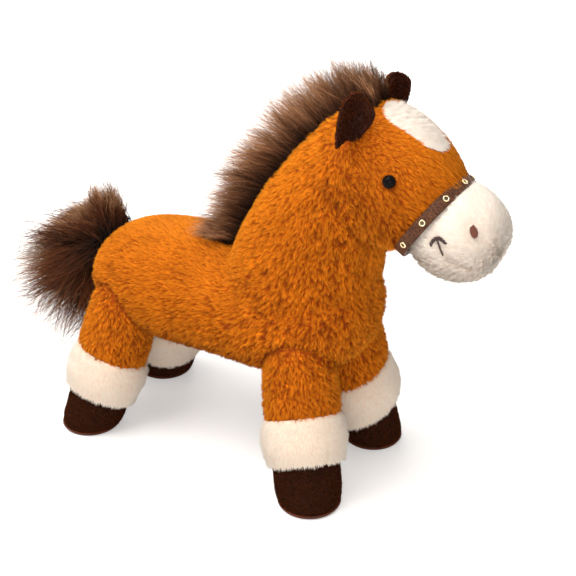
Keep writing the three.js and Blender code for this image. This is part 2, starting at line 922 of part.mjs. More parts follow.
// The bush rises past its root by its tuft.
const tailMidReach = tailLength / 2 - tailTuft;
const tailForm = new StuffedForm({
  mid: new THREE.Vector3(
    tailRoot.x - tailMidReach * Math.cos(tailPitch),
    0,
    tailRoot.z + tailMidReach * Math.sin(tailPitch),
  ),
  pitch: tailPitch,
  length: tailLength,
  width: tailWidth,
  height: tailHeight,
  heightShares: tailHeightShares,
  liftShares: tailLiftShares,
  fullness: tailFullness,
});

// The tail is hollowed where the rump would meet it at any point of its swing, with more
// room the further it swings, so that no two of the cuts meet on the hinge's axis.
function tailSolid() {
  const skin = toSolid(tailForm.skin(tailRings, sidesPlain));
  const swings = [-1, -0.5, 0, 0.5, 1].map((share) => {
    const rump = torsoForm.skin(torsoRings, sidesFine, seamGap * (1 + Math.abs(share)));
    const swing = new THREE.Matrix4().makeRotationZ(share * tailSwing);
    const there = new THREE.Matrix4().makeTranslation(tailRoot);
    const back = new THREE.Matrix4().makeTranslation(tailRoot.clone().negate());
    return toSolid(rump.applyMatrix4(there.multiply(swing).multiply(back)));
  });
  return swings.reduce((left, each) => left.subtract(each), skin);
}

// Finishes

function finish(colour, roughness, metalness = 0) {
  return new THREE.MeshStandardMaterial({ color: colour, roughness, metalness });
}

const finishes = {
  coat: finish('#d57a18', 0.95),
  cream: finish('#fbe6d2', 0.95),
  white: finish('#fbf1e6', 0.95),
  hoof: finish('#3a1a0c', 0.9),
  ear: finish('#3c1a10', 0.9),
  longPile: finish('#4a2c1c', 0.9),
  strap: finish('#6b3a28', 0.6),
  gold: finish('#c9a24a', 0.3, 1),
  eye: finish('#0c0806', 0.1),
  washer: finish('#e8e4dc', 0.5),
  thread: finish('#7a3a2e', 0.8),
};

// Assembly

const horse = new THREE.Group();

function add(name, solid, material, seat = new THREE.Vector3()) {
  const geometry = toGeometry(solid.translate(seat.clone().negate().toArray()));
  const mesh = new THREE.Mesh(geometry, material);
  mesh.name = name;
  mesh.position.copy(seat);
  horse.add(mesh);
}

const joined = (solids) => solids.reduce((all, each) => all.add(each));
const cutBy = (solid, cutters) => cutters.reduce((left, cutter) => left.subtract(cutter), solid);

const sockets = joined(legs.map(hipSocket));
const earRooms = joined(sides.map(([, sign]) => earRoom(sign)));

const eyeFrames = sides.map(([, sign]) => frameAt(headForm.surfaceAt(eyeAlong, sign * eyeAngle), up));
const eyePockets = joined(eyeFrames.map((frame) => toSolid(eyePocket().applyMatrix4(frame))));

add('torso', torsoSkin(0).subtract(sockets), finishes.coat, torsoForm.mid);
add(
  'neck',
  cutBy(neckSkin(0), [torsoSkin(seamGap), headSkin(seamGap), sockets]),
  finishes.coat,
  neckBase,
);
const faceSeam = slabInFront(muzzleSeam, headForm.forward, clearReach);
add('head', cutBy(headSkin(0), [faceSeam, eyePockets, earRooms]), finishes.coat, headMid);

const against = headForm.forward.clone().negate();
const muzzleEdge = muzzleSeam.clone().addScaledVector(against, -seamGap);
add(
  'muzzle',
  muzzleSkin(0).subtract(slabInFront(muzzleEdge, against, clearReach)),
  finishes.white,
  muzzleForm.mid,
);

const blazeFrame = frameAt(headForm.surfaceAt(blazeAlong, 0), against);
add('blaze', patchOn(headSkin, blazeFrame, blazeOutline(), blazeThickness), finishes.white, headMid);

const eyeletFrames = Array.from({ length: eyeletCount }, (_, index) => eyeletFrame(index));
const eyeletHoles = eyeletFrames.map((frame) => toSolid(eyeletHole().applyMatrix4(frame)));
add(
  'noseband',
  cutBy(nosebandSolid(), [headSkin(seamGap), muzzleSkin(seamGap), ...eyeletHoles]),
  finishes.strap,
  muzzleSeam,
);
eyeletFrames.forEach((frame, index) => {
  add(`eyelet_${index + 1}`, toSolid(eyeletShape().applyMatrix4(frame)), finishes.gold, muzzleSeam);
});

const nostrilOval = ovalOutline(nostrilWidth, nostrilHeight);
sides.forEach(([side, sign], index) => {
  const eyeSeatPoint = new THREE.Vector3().setFromMatrixPosition(eyeFrames[index]);
  add(`eye_${side}`, toSolid(eyeShape().applyMatrix4(eyeFrames[index])), finishes.eye, eyeSeatPoint);
  const washer = toSolid(washerShape().applyMatrix4(eyeFrames[index]));
  add(`eye_washer_${side}`, washer, finishes.washer, eyeSeatPoint);
  const nostrilFrame = frameAt(muzzleForm.surfaceAt(nostrilAlong, sign * nostrilAngle), up);
  const nostril = patchOn(muzzleSkin, nostrilFrame, nostrilOval, nostrilThickness);
  add(`nostril_${side}`, nostril, finishes.thread, muzzleForm.mid);
  add(`mouth_${side}`, mouthSolid(sign), finishes.thread, muzzleForm.mid);
  const ear = earPieces(sign);
  const earRoot = new THREE.Vector3().setFromMatrixPosition(earFrame(sign));
  add(`ear_${side}`, ear.outer, finishes.ear, earRoot);
  add(`ear_lining_${side}`, ear.lining, finishes.ear, earRoot);
});

const legFinishes = {
  leg: finishes.coat,
  cuff: finishes.cream,
  hoof: finishes.hoof,
  sole: finishes.hoof,
};
for (const leg of legs) {
  for (const [kind, solid] of Object.entries(legPieces(leg))) {
    add(`${kind}_${leg.name}`, solid, legFinishes[kind], leg.hip);
  }
}

const maneBed = [torsoSkin(seamGap), neckSkin(seamGap), headSkin(seamGap), earRooms];
add('mane', cutBy(maneSkin(), maneBed), finishes.longPile, neckTop);
add('tail', tailSolid(), finishes.longPile, tailRoot);

export default horse;
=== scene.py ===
import logging
import math
from dataclasses import dataclass, field
from enum import Enum
from functools import cache
from typing import Callable, Optional, Sequence

import bmesh
import bpy
import numpy as np
from mathutils import Matrix, Vector, noise
from mathutils.bvhtree import BVHTree
from mathutils.kdtree import KDTree


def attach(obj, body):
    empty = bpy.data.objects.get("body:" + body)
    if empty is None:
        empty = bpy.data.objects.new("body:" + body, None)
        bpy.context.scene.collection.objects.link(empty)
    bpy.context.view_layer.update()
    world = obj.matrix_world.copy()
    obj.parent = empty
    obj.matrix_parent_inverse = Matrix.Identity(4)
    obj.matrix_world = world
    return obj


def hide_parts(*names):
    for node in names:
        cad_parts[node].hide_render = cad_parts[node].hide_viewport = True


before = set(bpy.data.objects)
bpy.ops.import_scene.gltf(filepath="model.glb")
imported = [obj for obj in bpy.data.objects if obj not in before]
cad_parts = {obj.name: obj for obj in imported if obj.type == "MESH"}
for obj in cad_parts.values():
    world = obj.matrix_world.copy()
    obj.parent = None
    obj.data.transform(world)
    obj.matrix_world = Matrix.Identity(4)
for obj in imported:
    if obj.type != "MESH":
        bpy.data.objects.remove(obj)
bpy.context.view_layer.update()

# A standing plush horse. Sizes in this file are millimetres until a mesh is made.
MM = 0.001
log = logging.getLogger("plush_horse")

Array = np.ndarray
Field = Callable[[Array], Array]
Colour = tuple[int, int, int]
X_AXIS = np.array([1.0, 0.0, 0.0])
Y_AXIS = np.array([0.0, 1.0, 0.0])
Z_AXIS = np.array([0.0, 0.0, 1.0])


class Side(Enum):
    """The horse's own left and right."""

    LEFT = 1
    RIGHT = -1

    @property
    def word(self) -> str:
        """The side's name as the pieces use it."""
        return self.name.lower()


class End(Enum):
    """The front or the rear pair of legs."""

    FRONT = "front"
    REAR = "rear"


# Vectors and tables


def unit(vectors: Array) -> Array:
    """Scale vectors to length one.

    Args:
        vectors: one vector or rows of vectors.

    Returns:
        The same directions, of length one.
    """
    size = np.linalg.norm(vectors, axis=-1, keepdims=True)
    return vectors / np.maximum(size, 1e-9)


def dot(a: Array, b: Array) -> Array:
    """The dot product row by row, kept as a column."""
    return np.sum(a * b, axis=-1, keepdims=True)


def share_at(shares: Sequence[float], place: Array) -> Array:
    """Read a table of shares along a smooth spline.

    Args:
        shares: equally spaced values.
        place: where to read, from 0 at the first to 1 at the last.

    Returns:
        The values there.
    """
    table = np.asarray(shares, float)
    last = len(table) - 1
    spot = np.clip(place, 0, 1) * last
    base = np.minimum(np.floor(spot).astype(int), last)
    w = spot - base
    p0, p1 = table[np.maximum(base - 1, 0)], table[base]
    p2, p3 = table[np.minimum(base + 1, last)], table[np.minimum(base + 2, last)]
    v0, v1 = (p2 - p0) * 0.5, (p3 - p1) * 0.5
    cube = (2 * p1 - 2 * p2 + v0 + v1) * w**3
    return cube + (-3 * p1 + 3 * p2 - 2 * v0 - v1) * w**2 + v0 * w + p1


def ripple(points: Array, wavelength: float, seed: float = 0.0) -> Array:
    """Smooth noise from -1 to 1 at points, of about a wavelength in millimetres."""
    shift = Vector((seed, 2 * seed, -seed))
    return np.array([noise.noise(Vector(p) / wavelength + shift) for p in points.tolist()])


def bell(away: Array, reach: float) -> Array:
    """One at zero, and about a third at the reach on either side."""
    return np.exp(-((away / reach) ** 2))


def ramp(values: Array, start: float, end: float) -> Array:
    """Zero up to the start and one from the end on, which may lie below the start."""
    return np.clip((values - start) / (end - start), 0, 1)


def circle(sides: int) -> Array:
    """Angles equally spaced round a circle."""
    return 2 * np.pi * np.arange(sides) / sides


# Stuffed forms


@dataclass
class StuffedForm:
    """A swollen bag about a long axis in the plane of symmetry."""

    mid: Array
    pitch: float
    length: float
    width: float
    height: float
    fullness: float
    width_shares: Sequence[float] = (1, 1)
    height_shares: Sequence[float] = (1, 1)
    lift_shares: Sequence[float] = (0, 0)

    def __post_init__(self) -> None:
        """Work out the axes."""
        turn = math.radians(self.pitch)
        self.forward = np.array([math.cos(turn), 0, -math.sin(turn)])
        self.up = np.array([math.sin(turn), 0, math.cos(turn)])

    def section(self, along: Array, grow: float = 0.0) -> tuple[Array, Array, Array]:
        """The lift, half width and half height at distances along the axis."""
        place = np.asarray(along) / self.length + 0.5
        half_width = self.width / 2 * share_at(self.width_shares, place) + grow
        half_height = self.height / 2 * share_at(self.height_shares, place) + grow
        return self.height / 2 * share_at(self.lift_shares, place), half_width, half_height

    def loops(self, rings: int, sides: int, grow: float) -> tuple[Array, Array, Array]:
        """The bag's skin as rings between two poles.

        Args:
            rings: how many steps from pole to pole.
            sides: points in a ring.
            grow: how far outside the form, below zero for inside.

        Returns:
            The first pole, the rings and the last pole.
        """
        turn = np.pi * np.arange(0, rings + 1) / rings
        along = -np.cos(turn) * (self.length / 2 + grow)
        fill = np.maximum(np.sin(turn), 0) ** self.fullness
        lift, half_width, half_height = self.section(along, grow)
        angle = circle(sides)
        centre = self.mid + along[:, None] * self.forward + lift[:, None] * self.up
        rise = (fill * half_height)[:, None] * np.cos(angle)
        spread = (fill * half_width)[:, None] * np.sin(angle)
        points = centre[:, None] + rise[..., None] * self.up + spread[..., None] * Y_AXIS
        return points[0, 0], points[1:-1], points[-1, 0]

    def depth(self, points: Array, grow: float = 0.0) -> Array:
        """Below zero inside the form, above zero outside it."""
        offset = points - self.mid
        along = offset @ self.forward
        lift, half_width, half_height = self.section(along, grow)
        rise = (offset @ self.up - lift) / half_height
        spread = offset[..., 1] / half_width
        ends = (along / (self.length / 2 + grow)) ** 2
        return ends + np.hypot(rise, spread) ** (2 / self.fullness) - 1

    def surface_from(self, origin: Array, direction: Array) -> tuple[Array, Array]:
        """Where a ray from inside leaves the form.

        Args:
            origin: a point inside.
            direction: the way to go.

        Returns:
            The point there and the outward normal.
        """
        inside, outside = 0.0, self.length + self.height
        for _ in range(40):
            middle = (inside + outside) / 2
            if self.depth(origin + direction * middle) < 0:
                inside = middle
            else:
                outside = middle
        point = origin + direction * inside
        steps = 0.3 * np.eye(3)
        normal = np.array([self.depth(point + s) - self.depth(point - s) for s in steps])
        return point, unit(normal)

    def surface_at(self, along: float, angle: float) -> tuple[Array, Array]:
        """The surface at a distance along the axis and degrees from its top ridge."""
        turn = math.radians(angle)
        direction = self.up * math.cos(turn) + Y_AXIS * math.sin(turn)
        return self.surface_from(self.mid + along * self.forward, direction)


@dataclass
class Surface:
    """A skin of faces, from which pile can grow."""

    points: Array
    faces: list

    def triangles(self) -> Array:
        """The faces split into triangles, as rows of three point numbers."""
        found = []
        for f in self.faces:
            found += [(f[0], f[k], f[k + 1]) for k in range(1, len(f) - 1)]
        return np.array(found, int)

    def normals(self) -> Array:
        """The smooth outward normal at each point."""
        tri = self.triangles()
        a, b, c = (self.points[tri[:, k]] for k in range(3))
        flat = np.cross(b - a, c - a)
        total = np.zeros_like(self.points)
        for k in range(3):
            np.add.at(total, tri[:, k], flat)
        return unit(total)

    def scatter(self, density: float, rng: np.random.Generator) -> tuple[Array, Array]:
        """Spread points over the skin.

        Args:
            density: points for each square millimetre.
            rng: the source of chance.

        Returns:
            The points and the skin's normals there.
        """
        tri = self.triangles()
        a, b, c = (self.points[tri[:, k]] for k in range(3))
        area = np.linalg.norm(np.cross(b - a, c - a), axis=1) / 2
        wanted = area * density
        count = np.floor(wanted + rng.random(len(wanted))).astype(int)
        pick = np.repeat(np.arange(len(tri)), count)
        u, v = rng.random((2, len(pick)))
        over = u + v > 1
        u, v = np.where(over, 1 - u, u)[:, None], np.where(over, 1 - v, v)[:, None]
        blend = (1 - u - v, u, v)
        normals = self.normals()
        place = sum(w * self.points[tri[pick, k]] for k, w in enumerate(blend))
        return place, unit(sum(w * normals[tri[pick, k]] for k, w in enumerate(blend)))

    def part(self, wanted: Array) -> "Surface":
        """The faces where wanted is true, with only their own points."""
        faces = [f for f, w in zip(self.faces, wanted) if w]
        used = sorted({i for f in faces for i in f})
        at = {old: new for new, old in enumerate(used)}
        return Surface(self.points[used], [tuple(at[i] for i in f) for f in faces])

    def middles(self) -> Array:
        """The middle of each face."""
        return np.array([self.points[list(f)].mean(0) for f in self.faces])


def skin_of_rings(first: Array, rings: Array, last: Array) -> Surface:
    """A closed skin through rings of points between two poles.

    Args:
        first: the pole before the first ring.
        rings: an array of rings of points.
        last: the pole after the last ring.

    Returns:
        The skin, facing outwards.
    """
    count, sides = rings.shape[:2]
    points = np.vstack([first[None], rings.reshape(-1, 3), last[None]])
    end = len(points) - 1
    faces: list = []
    for side in range(sides):
        after = (side + 1) % sides
        faces.append((0, 1 + after, 1 + side))
        for ring in range(count - 1):
            near, far = 1 + ring * sides, 1 + (ring + 1) * sides
            faces.append((near + side, near + after, far + after, far + side))
        far = 1 + (count - 1) * sides
        faces.append((far + side, far + after, end))
    skin = Surface(points, faces)
    tri = skin.triangles()
    a, b, c = (points[tri[:, k]] for k in range(3))
    if np.sum(a * np.cross(b, c)) < 0:
        skin.faces = [f[::-1] for f in faces]
    return skin


def cut_skin(skin: Surface, point: Array, normal: Array) -> Surface:
    """Keep what lies behind a plane, and close the cut.

    Args:
        skin: the skin to cut.
        point: a point of the plane.
        normal: the way the cut-off part lies.

    Returns:
        The rest of the skin.
    """
    bm = bmesh.new()
    corners = [bm.verts.new(p) for p in skin.points]
    for f in skin.faces:
        bm.faces.new([corners[i] for i in f])
    everything = bm.verts[:] + bm.edges[:] + bm.faces[:]
    made = bmesh.ops.bisect_plane(
        bm, geom=everything, dist=1e-4, plane_co=point, plane_no=normal, clear_outer=True
    )
    rim = [e for e in made["geom_cut"] if isinstance(e, bmesh.types.BMEdge)]
    bmesh.ops.contextual_create(bm, geom=rim)
    bm.verts.index_update()
    points = np.array([v.co for v in bm.verts], float).reshape(-1, 3)
    faces = [tuple(v.index for v in f.verts) for f in bm.faces]
    bm.free()
    return Surface(points, faces)


# Meshes


def linked(name: str, data: object) -> bpy.types.Object:
    """A new object of some data, in the scene."""
    made = bpy.data.objects.new(name, data)
    bpy.context.scene.collection.objects.link(made)
    return made


def mesh_of(name: str, skin: Surface) -> bpy.types.Object:
    """Make a smooth object of a skin."""
    mesh = bpy.data.meshes.new(name)
    mesh.from_pydata((skin.points * MM).tolist(), [], skin.faces)
    mesh.shade_smooth()
    mesh.update()
    return linked(name, mesh)


def ring_faces(count: int, sides: int) -> list:
    """The faces of rings of points that follow one another in a closed loop.

    Args:
        count: how many rings.
        sides: points in a ring.

    Returns:
        The faces, by the numbers of their points.
    """
    faces = []
    for k in range(count):
        near, far = k * sides, ((k + 1) % count) * sides
        for s in range(sides):
            n = (s + 1) % sides
            faces.append((near + s, near + n, far + n, far + s))
    return faces


def lathe(profile: Sequence[tuple[float, float]], sides: int, at: Matrix) -> Surface:
    """Turn a profile of (radius, height) about a frame's Z axis.

    Args:
        profile: points from one end to the other; a radius of zero is a pole.
        sides: points round it.
        at: the frame, in millimetres.

    Returns:
        The turned skin.
    """
    angle = circle(sides)
    points: list = []
    rows: list = []
    for radius, height in profile:
        if radius < 1e-6:
            rows.append([len(points)] * sides)
            points.append((0.0, 0.0, height))
        else:
            rows.append(list(range(len(points), len(points) + sides)))
            points += [(radius * math.cos(a), radius * math.sin(a), height) for a in angle]
    faces = []
    for low, high in zip(rows, rows[1:]):
        for k in range(sides):
            n = (k + 1) % sides
            loop = dict.fromkeys((low[k], low[n], high[n], high[k]))
            if len(loop) > 2:
                faces.append(tuple(loop))
    basis = np.array(at, float)
    local = np.array(points) @ basis[:3, :3].T + basis[:3, 3]
    return Surface(local, faces)


def tube(path: Array, radius: Array, sides: int, closed: bool = False) -> Surface:
    """Sweep a round section along a path.

    Args:
        path: the points of the centre line.
        radius: the radius at each.
        sides: points round it.
        closed: whether the path is a ring.

    Returns:
        The tube's skin, whose ends are closed where it is no ring.
    """
    step = np.roll(path, -1, 0) - np.roll(path, 1, 0) if closed else np.gradient(path, axis=0)
    along = unit(step)
    side = unit(np.cross(along[0], Z_AXIS if abs(along[0][2]) < 0.9 else X_AXIS))
    rings = []
    angle = circle(sides)[:, None]
    for spot, way, reach in zip(path, along, radius):
        side = unit(side - dot(side, way) * way)
        rings.append(spot + reach * (np.cos(angle) * side + np.sin(angle) * np.cross(way, side)))
    if not closed:
        return skin_of_rings(path[0], np.array(rings), path[-1])
    return Surface(np.vstack(rings), ring_faces(len(path), sides))


def merged(parts: Sequence[Surface]) -> Surface:
    """Several skins as one."""
    points, faces, base = [], [], 0
    for part in parts:
        points.append(part.points)
        faces += [tuple(i + base for i in f) for f in part.faces]
        base += len(part.points)
    return Surface(np.vstack(points), faces)


def smoothed(skin: Surface, rounds: int) -> Surface:
    """Even out a skin without shrinking it much."""
    edges = {tuple(sorted(p)) for f in skin.faces for p in zip(f, f[1:] + f[:1])}
    pairs = np.array(sorted(edges), int)
    count = np.bincount(pairs.ravel(), minlength=len(skin.points))[:, None]
    points = skin.points.copy()
    for _ in range(rounds):
        for step in (0.55, -0.57):
            total = np.zeros_like(points)
            np.add.at(total, pairs[:, 0], points[pairs[:, 1]])
            np.add.at(total, pairs[:, 1], points[pairs[:, 0]])
            points += step * (total / np.maximum(count, 1) - points)
    return Surface(points, skin.faces)


def surface_of(mesh: bpy.types.Mesh) -> Surface:
    """The skin of a mesh, in millimetres."""
    points = np.array([v.co for v in mesh.vertices], float).reshape(-1, 3) / MM
    return Surface(points, [tuple(p.vertices) for p in mesh.polygons])


def node_surface(node: str) -> Surface:
    """The skin of a node of the frame, in millimetres."""
    return surface_of(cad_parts[node].data)


def modified(skin: Surface, steps: dict[str, dict]) -> Surface:
    """What Blender's modifiers make of a skin.

    Args:
        skin: the skin.
        steps: the settings of each kind of modifier, in order.

    Returns:
        The new skin.
    """
    source = mesh_of("modified", skin)
    for kind, settings in steps.items():
        step = source.modifiers.new(kind, kind)
        for name, value in settings.items():
            setattr(step, name, value)
    seen = source.evaluated_get(bpy.context.evaluated_depsgraph_get())
    done = surface_of(seen.to_mesh())
    seen.to_mesh_clear()
    bpy.data.objects.remove(source)
    return done


def tree_of(skin: Surface) -> BVHTree:
    """A search tree over a skin."""
    return BVHTree.FromPolygons(skin.points.tolist(), skin.faces)


# Pile


@dataclass(frozen=True)
class Pile:
    """How the fibres of a cloth stand.

    Lengths are in millimetres and angles in degrees.
    """

    length: float
    width: float
    density: float
    lean: float
    tuft: float
    gather: float
    wander: float
    # bulge: rounds each tuft's normals, and in the tone paints shade in the gaps between tufts and
    # light at their middles
    bulge: float
    tuft_tone: float
    fibre_tone: float
    stray: float = 12.0
    curl: float = 0.35
    uneven: float = 0.12


@dataclass(frozen=True)
class Groom:
    """How a pile changes over its cloth, each part of it a function of points."""

    lay: Field
    keep: Callable[[Array, Array], Array] = lambda points, normals: np.ones(len(points), bool)
    length: Field = lambda points: np.ones(len(points))
    mess: Field = lambda points: np.ones(len(points))
    # shade: painted light and shade, with random patches, added to each fibre's tone
    shade: Field = lambda points: np.zeros(len(points))


@dataclass
class Fibres:
    """Strands, each a row of points from its root to its tip."""

    points: Array
    width: Array
    normals: Array
    tone: Array

    def __len__(self) -> int:
        """How many strands there are."""
        return len(self.points)

    def chosen(self, wanted: Array) -> "Fibres":
        """The strands where wanted is true."""
        rows = (self.points, self.width, self.normals, self.tone)
        return Fibres(*(values[wanted] for values in rows))


def nearest(points: Array, centres: Array) -> Array:
    """The number of the nearest centre to each point."""
    tree = KDTree(len(centres))
    for k, c in enumerate(centres.tolist()):
        tree.insert(c, k)
    tree.balance()
    return np.array([tree.find(p)[1] for p in points.tolist()], int)


def turned_by(directions: Array, degrees: Array, rng: np.random.Generator) -> Array:
    """Directions, each turned by a chance angle of about so many degrees."""
    return unit(directions + rng.normal(size=directions.shape) * np.tan(np.radians(degrees)))


def grow_pile(skin: Surface, pile: Pile, groom: Groom, seed: int) -> Fibres:
    """Grow pile on a skin.

    Args:
        skin: the backing cloth.
        pile: how the fibres stand.
        groom: how that changes over the cloth.
        seed: the start of the chance numbers.

    Returns:
        The strands.
    """
    rng = np.random.default_rng(seed)
    roots, normals = skin.scatter(pile.density, rng)
    wanted = groom.keep(roots, normals)
    roots, normals = roots[wanted], normals[wanted]
    count = len(roots)
    if not count:
        raise ValueError("no pile grows here")
    along = groom.lay(roots)
    along = unit(along - dot(along, normals) * normals)
    tufts = max(1, int(count / (pile.density * pile.tuft**2)))
    centre = rng.choice(count, tufts, replace=False)
    tuft = nearest(roots, roots[centre])
    middle = roots[centre][tuft]
    wild = groom.mess(roots)[:, None]
    lean = np.radians(pile.lean * (1.3 - 0.5 * wild))
    stand = unit(normals * np.cos(lean) + along * np.sin(lean))
    tuft_way = turned_by(stand[centre], pile.wander * wild[centre], rng)
    own_way = turned_by(tuft_way[tuft], pile.stray * wild, rng)
    tuft_size = 1 + pile.uneven * wild[centre] * rng.normal(size=(tufts, 1))
    size = tuft_size[tuft] * (1 + 0.1 * rng.normal(size=(count, 1)))
    size = pile.length * np.clip(size, 0.5, 1.5) * groom.length(roots)[:, None]
    sway = unit(np.cross(tuft_way, normals[centre]) + 0.3 * rng.normal(size=(tufts, 3)))[tuft]
    phase = rng.random((tufts, 1))[tuft] * 2 * np.pi
    bend = 0.22 * size * unit(along - 0.4 * normals)
    pull = pile.gather * wild
    swing = (np.sin(phase + 5) - np.sin(phase)) * pile.curl * wild
    alone, gathered = roots + own_way * size, middle + tuft_way[tuft] * size
    tips = alone * (1 - pull) + gathered * pull + bend + sway * swing
    width = pile.width * (0.75 + 0.5 * rng.random((count, 1)))
    offset = (roots - middle) / pile.tuft
    # Tone: the groom's painted light and shade, random tone, then painted shade between tufts and
    # light at their middles.
    tone = 0.5 + groom.shade(roots)[:, None] + pile.fibre_tone * rng.normal(size=(count, 1))
    tone = tone + wild * pile.tuft_tone * rng.normal(size=(tufts, 1))[tuft]
    tone = tone + wild * pile.bulge * 0.35 * (0.45 - np.linalg.norm(offset, axis=1, keepdims=True))
    soft = unit(normals + wild * (pile.bulge * offset + 0.2 * (own_way - stand)))
    return Fibres(np.stack([roots, tips], 1), width, soft, np.clip(tone[:, 0], 0, 1))


def strand_mesh(
    name: str, verts: Array, faces: Sequence[tuple], place: Array, normals: Array
) -> bpy.types.Object:
    """Make one mesh of many strands that have the same faces.

    Args:
        name: the piece's name.
        verts: rows of each strand's points.
        faces: one strand's faces, by the numbers of its points.
        place: each point's place in the OFBake map.
        normals: the way each strand is lit from.

    Returns:
        The new object, in the scene.
    """
    count, per = verts.shape[:2]
    corner = [i for f in faces for i in f]
    loops = (np.arange(count)[:, None] * per + np.array(corner)).ravel()
    sizes = np.tile([len(f) for f in faces], count)
    mesh = bpy.data.meshes.new(name)
    mesh.vertices.add(count * per)
    mesh.vertices.foreach_set("co", (verts * MM).astype(np.float32).ravel())
    mesh.loops.add(len(loops))
    mesh.loops.foreach_set("vertex_index", loops.astype(np.int32))
    mesh.polygons.add(len(sizes))
    starts = np.concatenate([[0], np.cumsum(sizes)[:-1]])
    mesh.polygons.foreach_set("loop_start", starts.astype(np.int32))
    mesh.update(calc_edges=True)
    layer = mesh.uv_layers.new(name="OFBake")
    layer.data.foreach_set("uv", place.reshape(-1, 2)[loops].astype(np.float32).ravel())
    mesh.shade_smooth()
    mesh.normals_split_custom_set_from_vertices(np.repeat(normals, per, 0).astype(np.float32))
    return linked(name, mesh)


def places_of(tone: Array, height: Sequence[float], across: Sequence[float]) -> Array:
    """Places in the OFBake map, where a fibre's tone runs across and its length up."""
    u = 0.01 + 0.96 * tone[:, None] + 0.012 * np.array(across)
    return np.stack([u, np.broadcast_to(0.01 + 0.98 * np.array(height), u.shape)], -1)


def blade_mesh(name: str, fibres: Fibres) -> bpy.types.Object:
    """Make long fibres as one mesh of flat, bent, tapered blades."""
    steps = fibres.points.shape[1] - 1
    path = fibres.points
    rng = np.random.default_rng(len(path))
    face = unit(fibres.normals + 0.4 * rng.normal(size=fibres.normals.shape))
    half = unit(np.cross(np.gradient(path, axis=1), face[:, None])) * (fibres.width / 2)[..., None]
    verts = np.empty((len(path), 2 * steps + 1, 3))
    verts[:, 0 : 2 * steps : 2] = (path - half)[:, :steps]
    verts[:, 1 : 2 * steps : 2] = (path + half)[:, :steps]
    verts[:, -1] = path[:, -1]
    faces = [(2 * k, 2 * k + 1, 2 * k + 3, 2 * k + 2) for k in range(steps - 1)]
    faces.append((2 * steps - 2, 2 * steps - 1, 2 * steps))
    height = [k / steps for k in range(steps) for _ in (0, 1)] + [1.0]
    place = places_of(fibres.tone, height, [0.0, 1.0] * steps + [0.5])
    return strand_mesh(name, verts, faces, place, fibres.normals)


def spike_mesh(name: str, fibres: Fibres) -> bpy.types.Object:
    """Make short fibres as one mesh of three-sided spikes, so that only outsides are ever seen."""
    root, tip = fibres.points[:, 0], fibres.points[:, -1]
    along = unit(tip - root)
    rng = np.random.default_rng(len(root))
    side = unit(np.cross(along, rng.normal(size=along.shape)))
    rise = np.cross(along, side)
    turn = circle(3)[:, None]
    ring = np.cos(turn) * side[:, None] + np.sin(turn) * rise[:, None]
    verts = np.concatenate([root[:, None] + ring * fibres.width[:, None] / 2, tip[:, None]], 1)
    place = places_of(fibres.tone, (0.0, 0.0, 0.0, 1.0), (0.0, 0.5, 1.0, 0.5))
    return strand_mesh(name, verts, ((0, 1, 3), (1, 2, 3), (2, 0, 3)), place, fibres.normals)


# Finishes


@dataclass
class Wiring:
    """Places and joins the nodes of one tree."""

    tree: bpy.types.NodeTree
    column: int = 0

    def node(self, kind: str, settings: Optional[dict] = None, **inputs: object) -> bpy.types.Node:
        """Add a node.

        Args:
            kind: the node's type, without ShaderNode.
            settings: its properties.
            **inputs: a value or a socket for each, by its name with _ for a space, or as i0, i1.

        Returns:
            The node.
        """
        made = self.tree.nodes.new(kind if kind.startswith("Node") else f"ShaderNode{kind}")
        self.column += 1
        made.location = (self.column * 180, -(self.column % 4) * 160)
        for name, value in (settings or {}).items():
            setattr(made, name, value)
        for name, value in inputs.items():
            is_number = name[0] == "i" and name[1:].isdigit()
            target = made.inputs[int(name[1:]) if is_number else name.replace("_", " ")]
            if isinstance(value, bpy.types.NodeSocket):
                self.tree.links.new(value, target)
            else:
                target.default_value = value
        return made

    def mixed(self, share: object, first: object, second: object) -> bpy.types.NodeSocket:
        """A colour some share of the way from one to another."""
        return self.node("Mix", {"data_type": "RGBA"}, i0=share, i6=first, i7=second).outputs[2]


def colour(tint: Colour) -> tuple[float, ...]:
    """A colour written in the usual 0 to 255 way, as the shaders want it."""
    shares = [v / 255 for v in tint]
    return (*(v / 12.92 if v <= 0.04045 else ((v + 0.055) / 1.055) ** 2.4 for v in shares), 1.0)


def open_group(name: str, inputs: dict, outputs: dict) -> tuple[Wiring, object]:
    """Start a shared node group.

    Args:
        name: the group's name.
        inputs: each input's default: four numbers for a colour, three for a vector, or one.
        outputs: each output's kind.

    Returns:
        The group's wiring and its inputs' sockets.
    """
    tree = bpy.data.node_groups.new(name, "ShaderNodeTree")
    for title, value in inputs.items():
        kind = {3: "Vector", 4: "Color"}[len(value)] if isinstance(value, tuple) else "Float"
        kind = f"NodeSocket{kind}"
        made = tree.interface.new_socket(name=title, in_out="INPUT", socket_type=kind)
        made.default_value = value
    for title, kind in outputs.items():
        kind = f"NodeSocket{kind}"
        tree.interface.new_socket(name=title, in_out="OUTPUT", socket_type=kind)
    w = Wiring(tree)
    return w, w.node("NodeGroupInput").outputs


COLOUR_AND_HEIGHT = {"Color": "Color", "Height": "Float"}
SMOOTH = {"interpolation_type": "SMOOTHSTEP"}


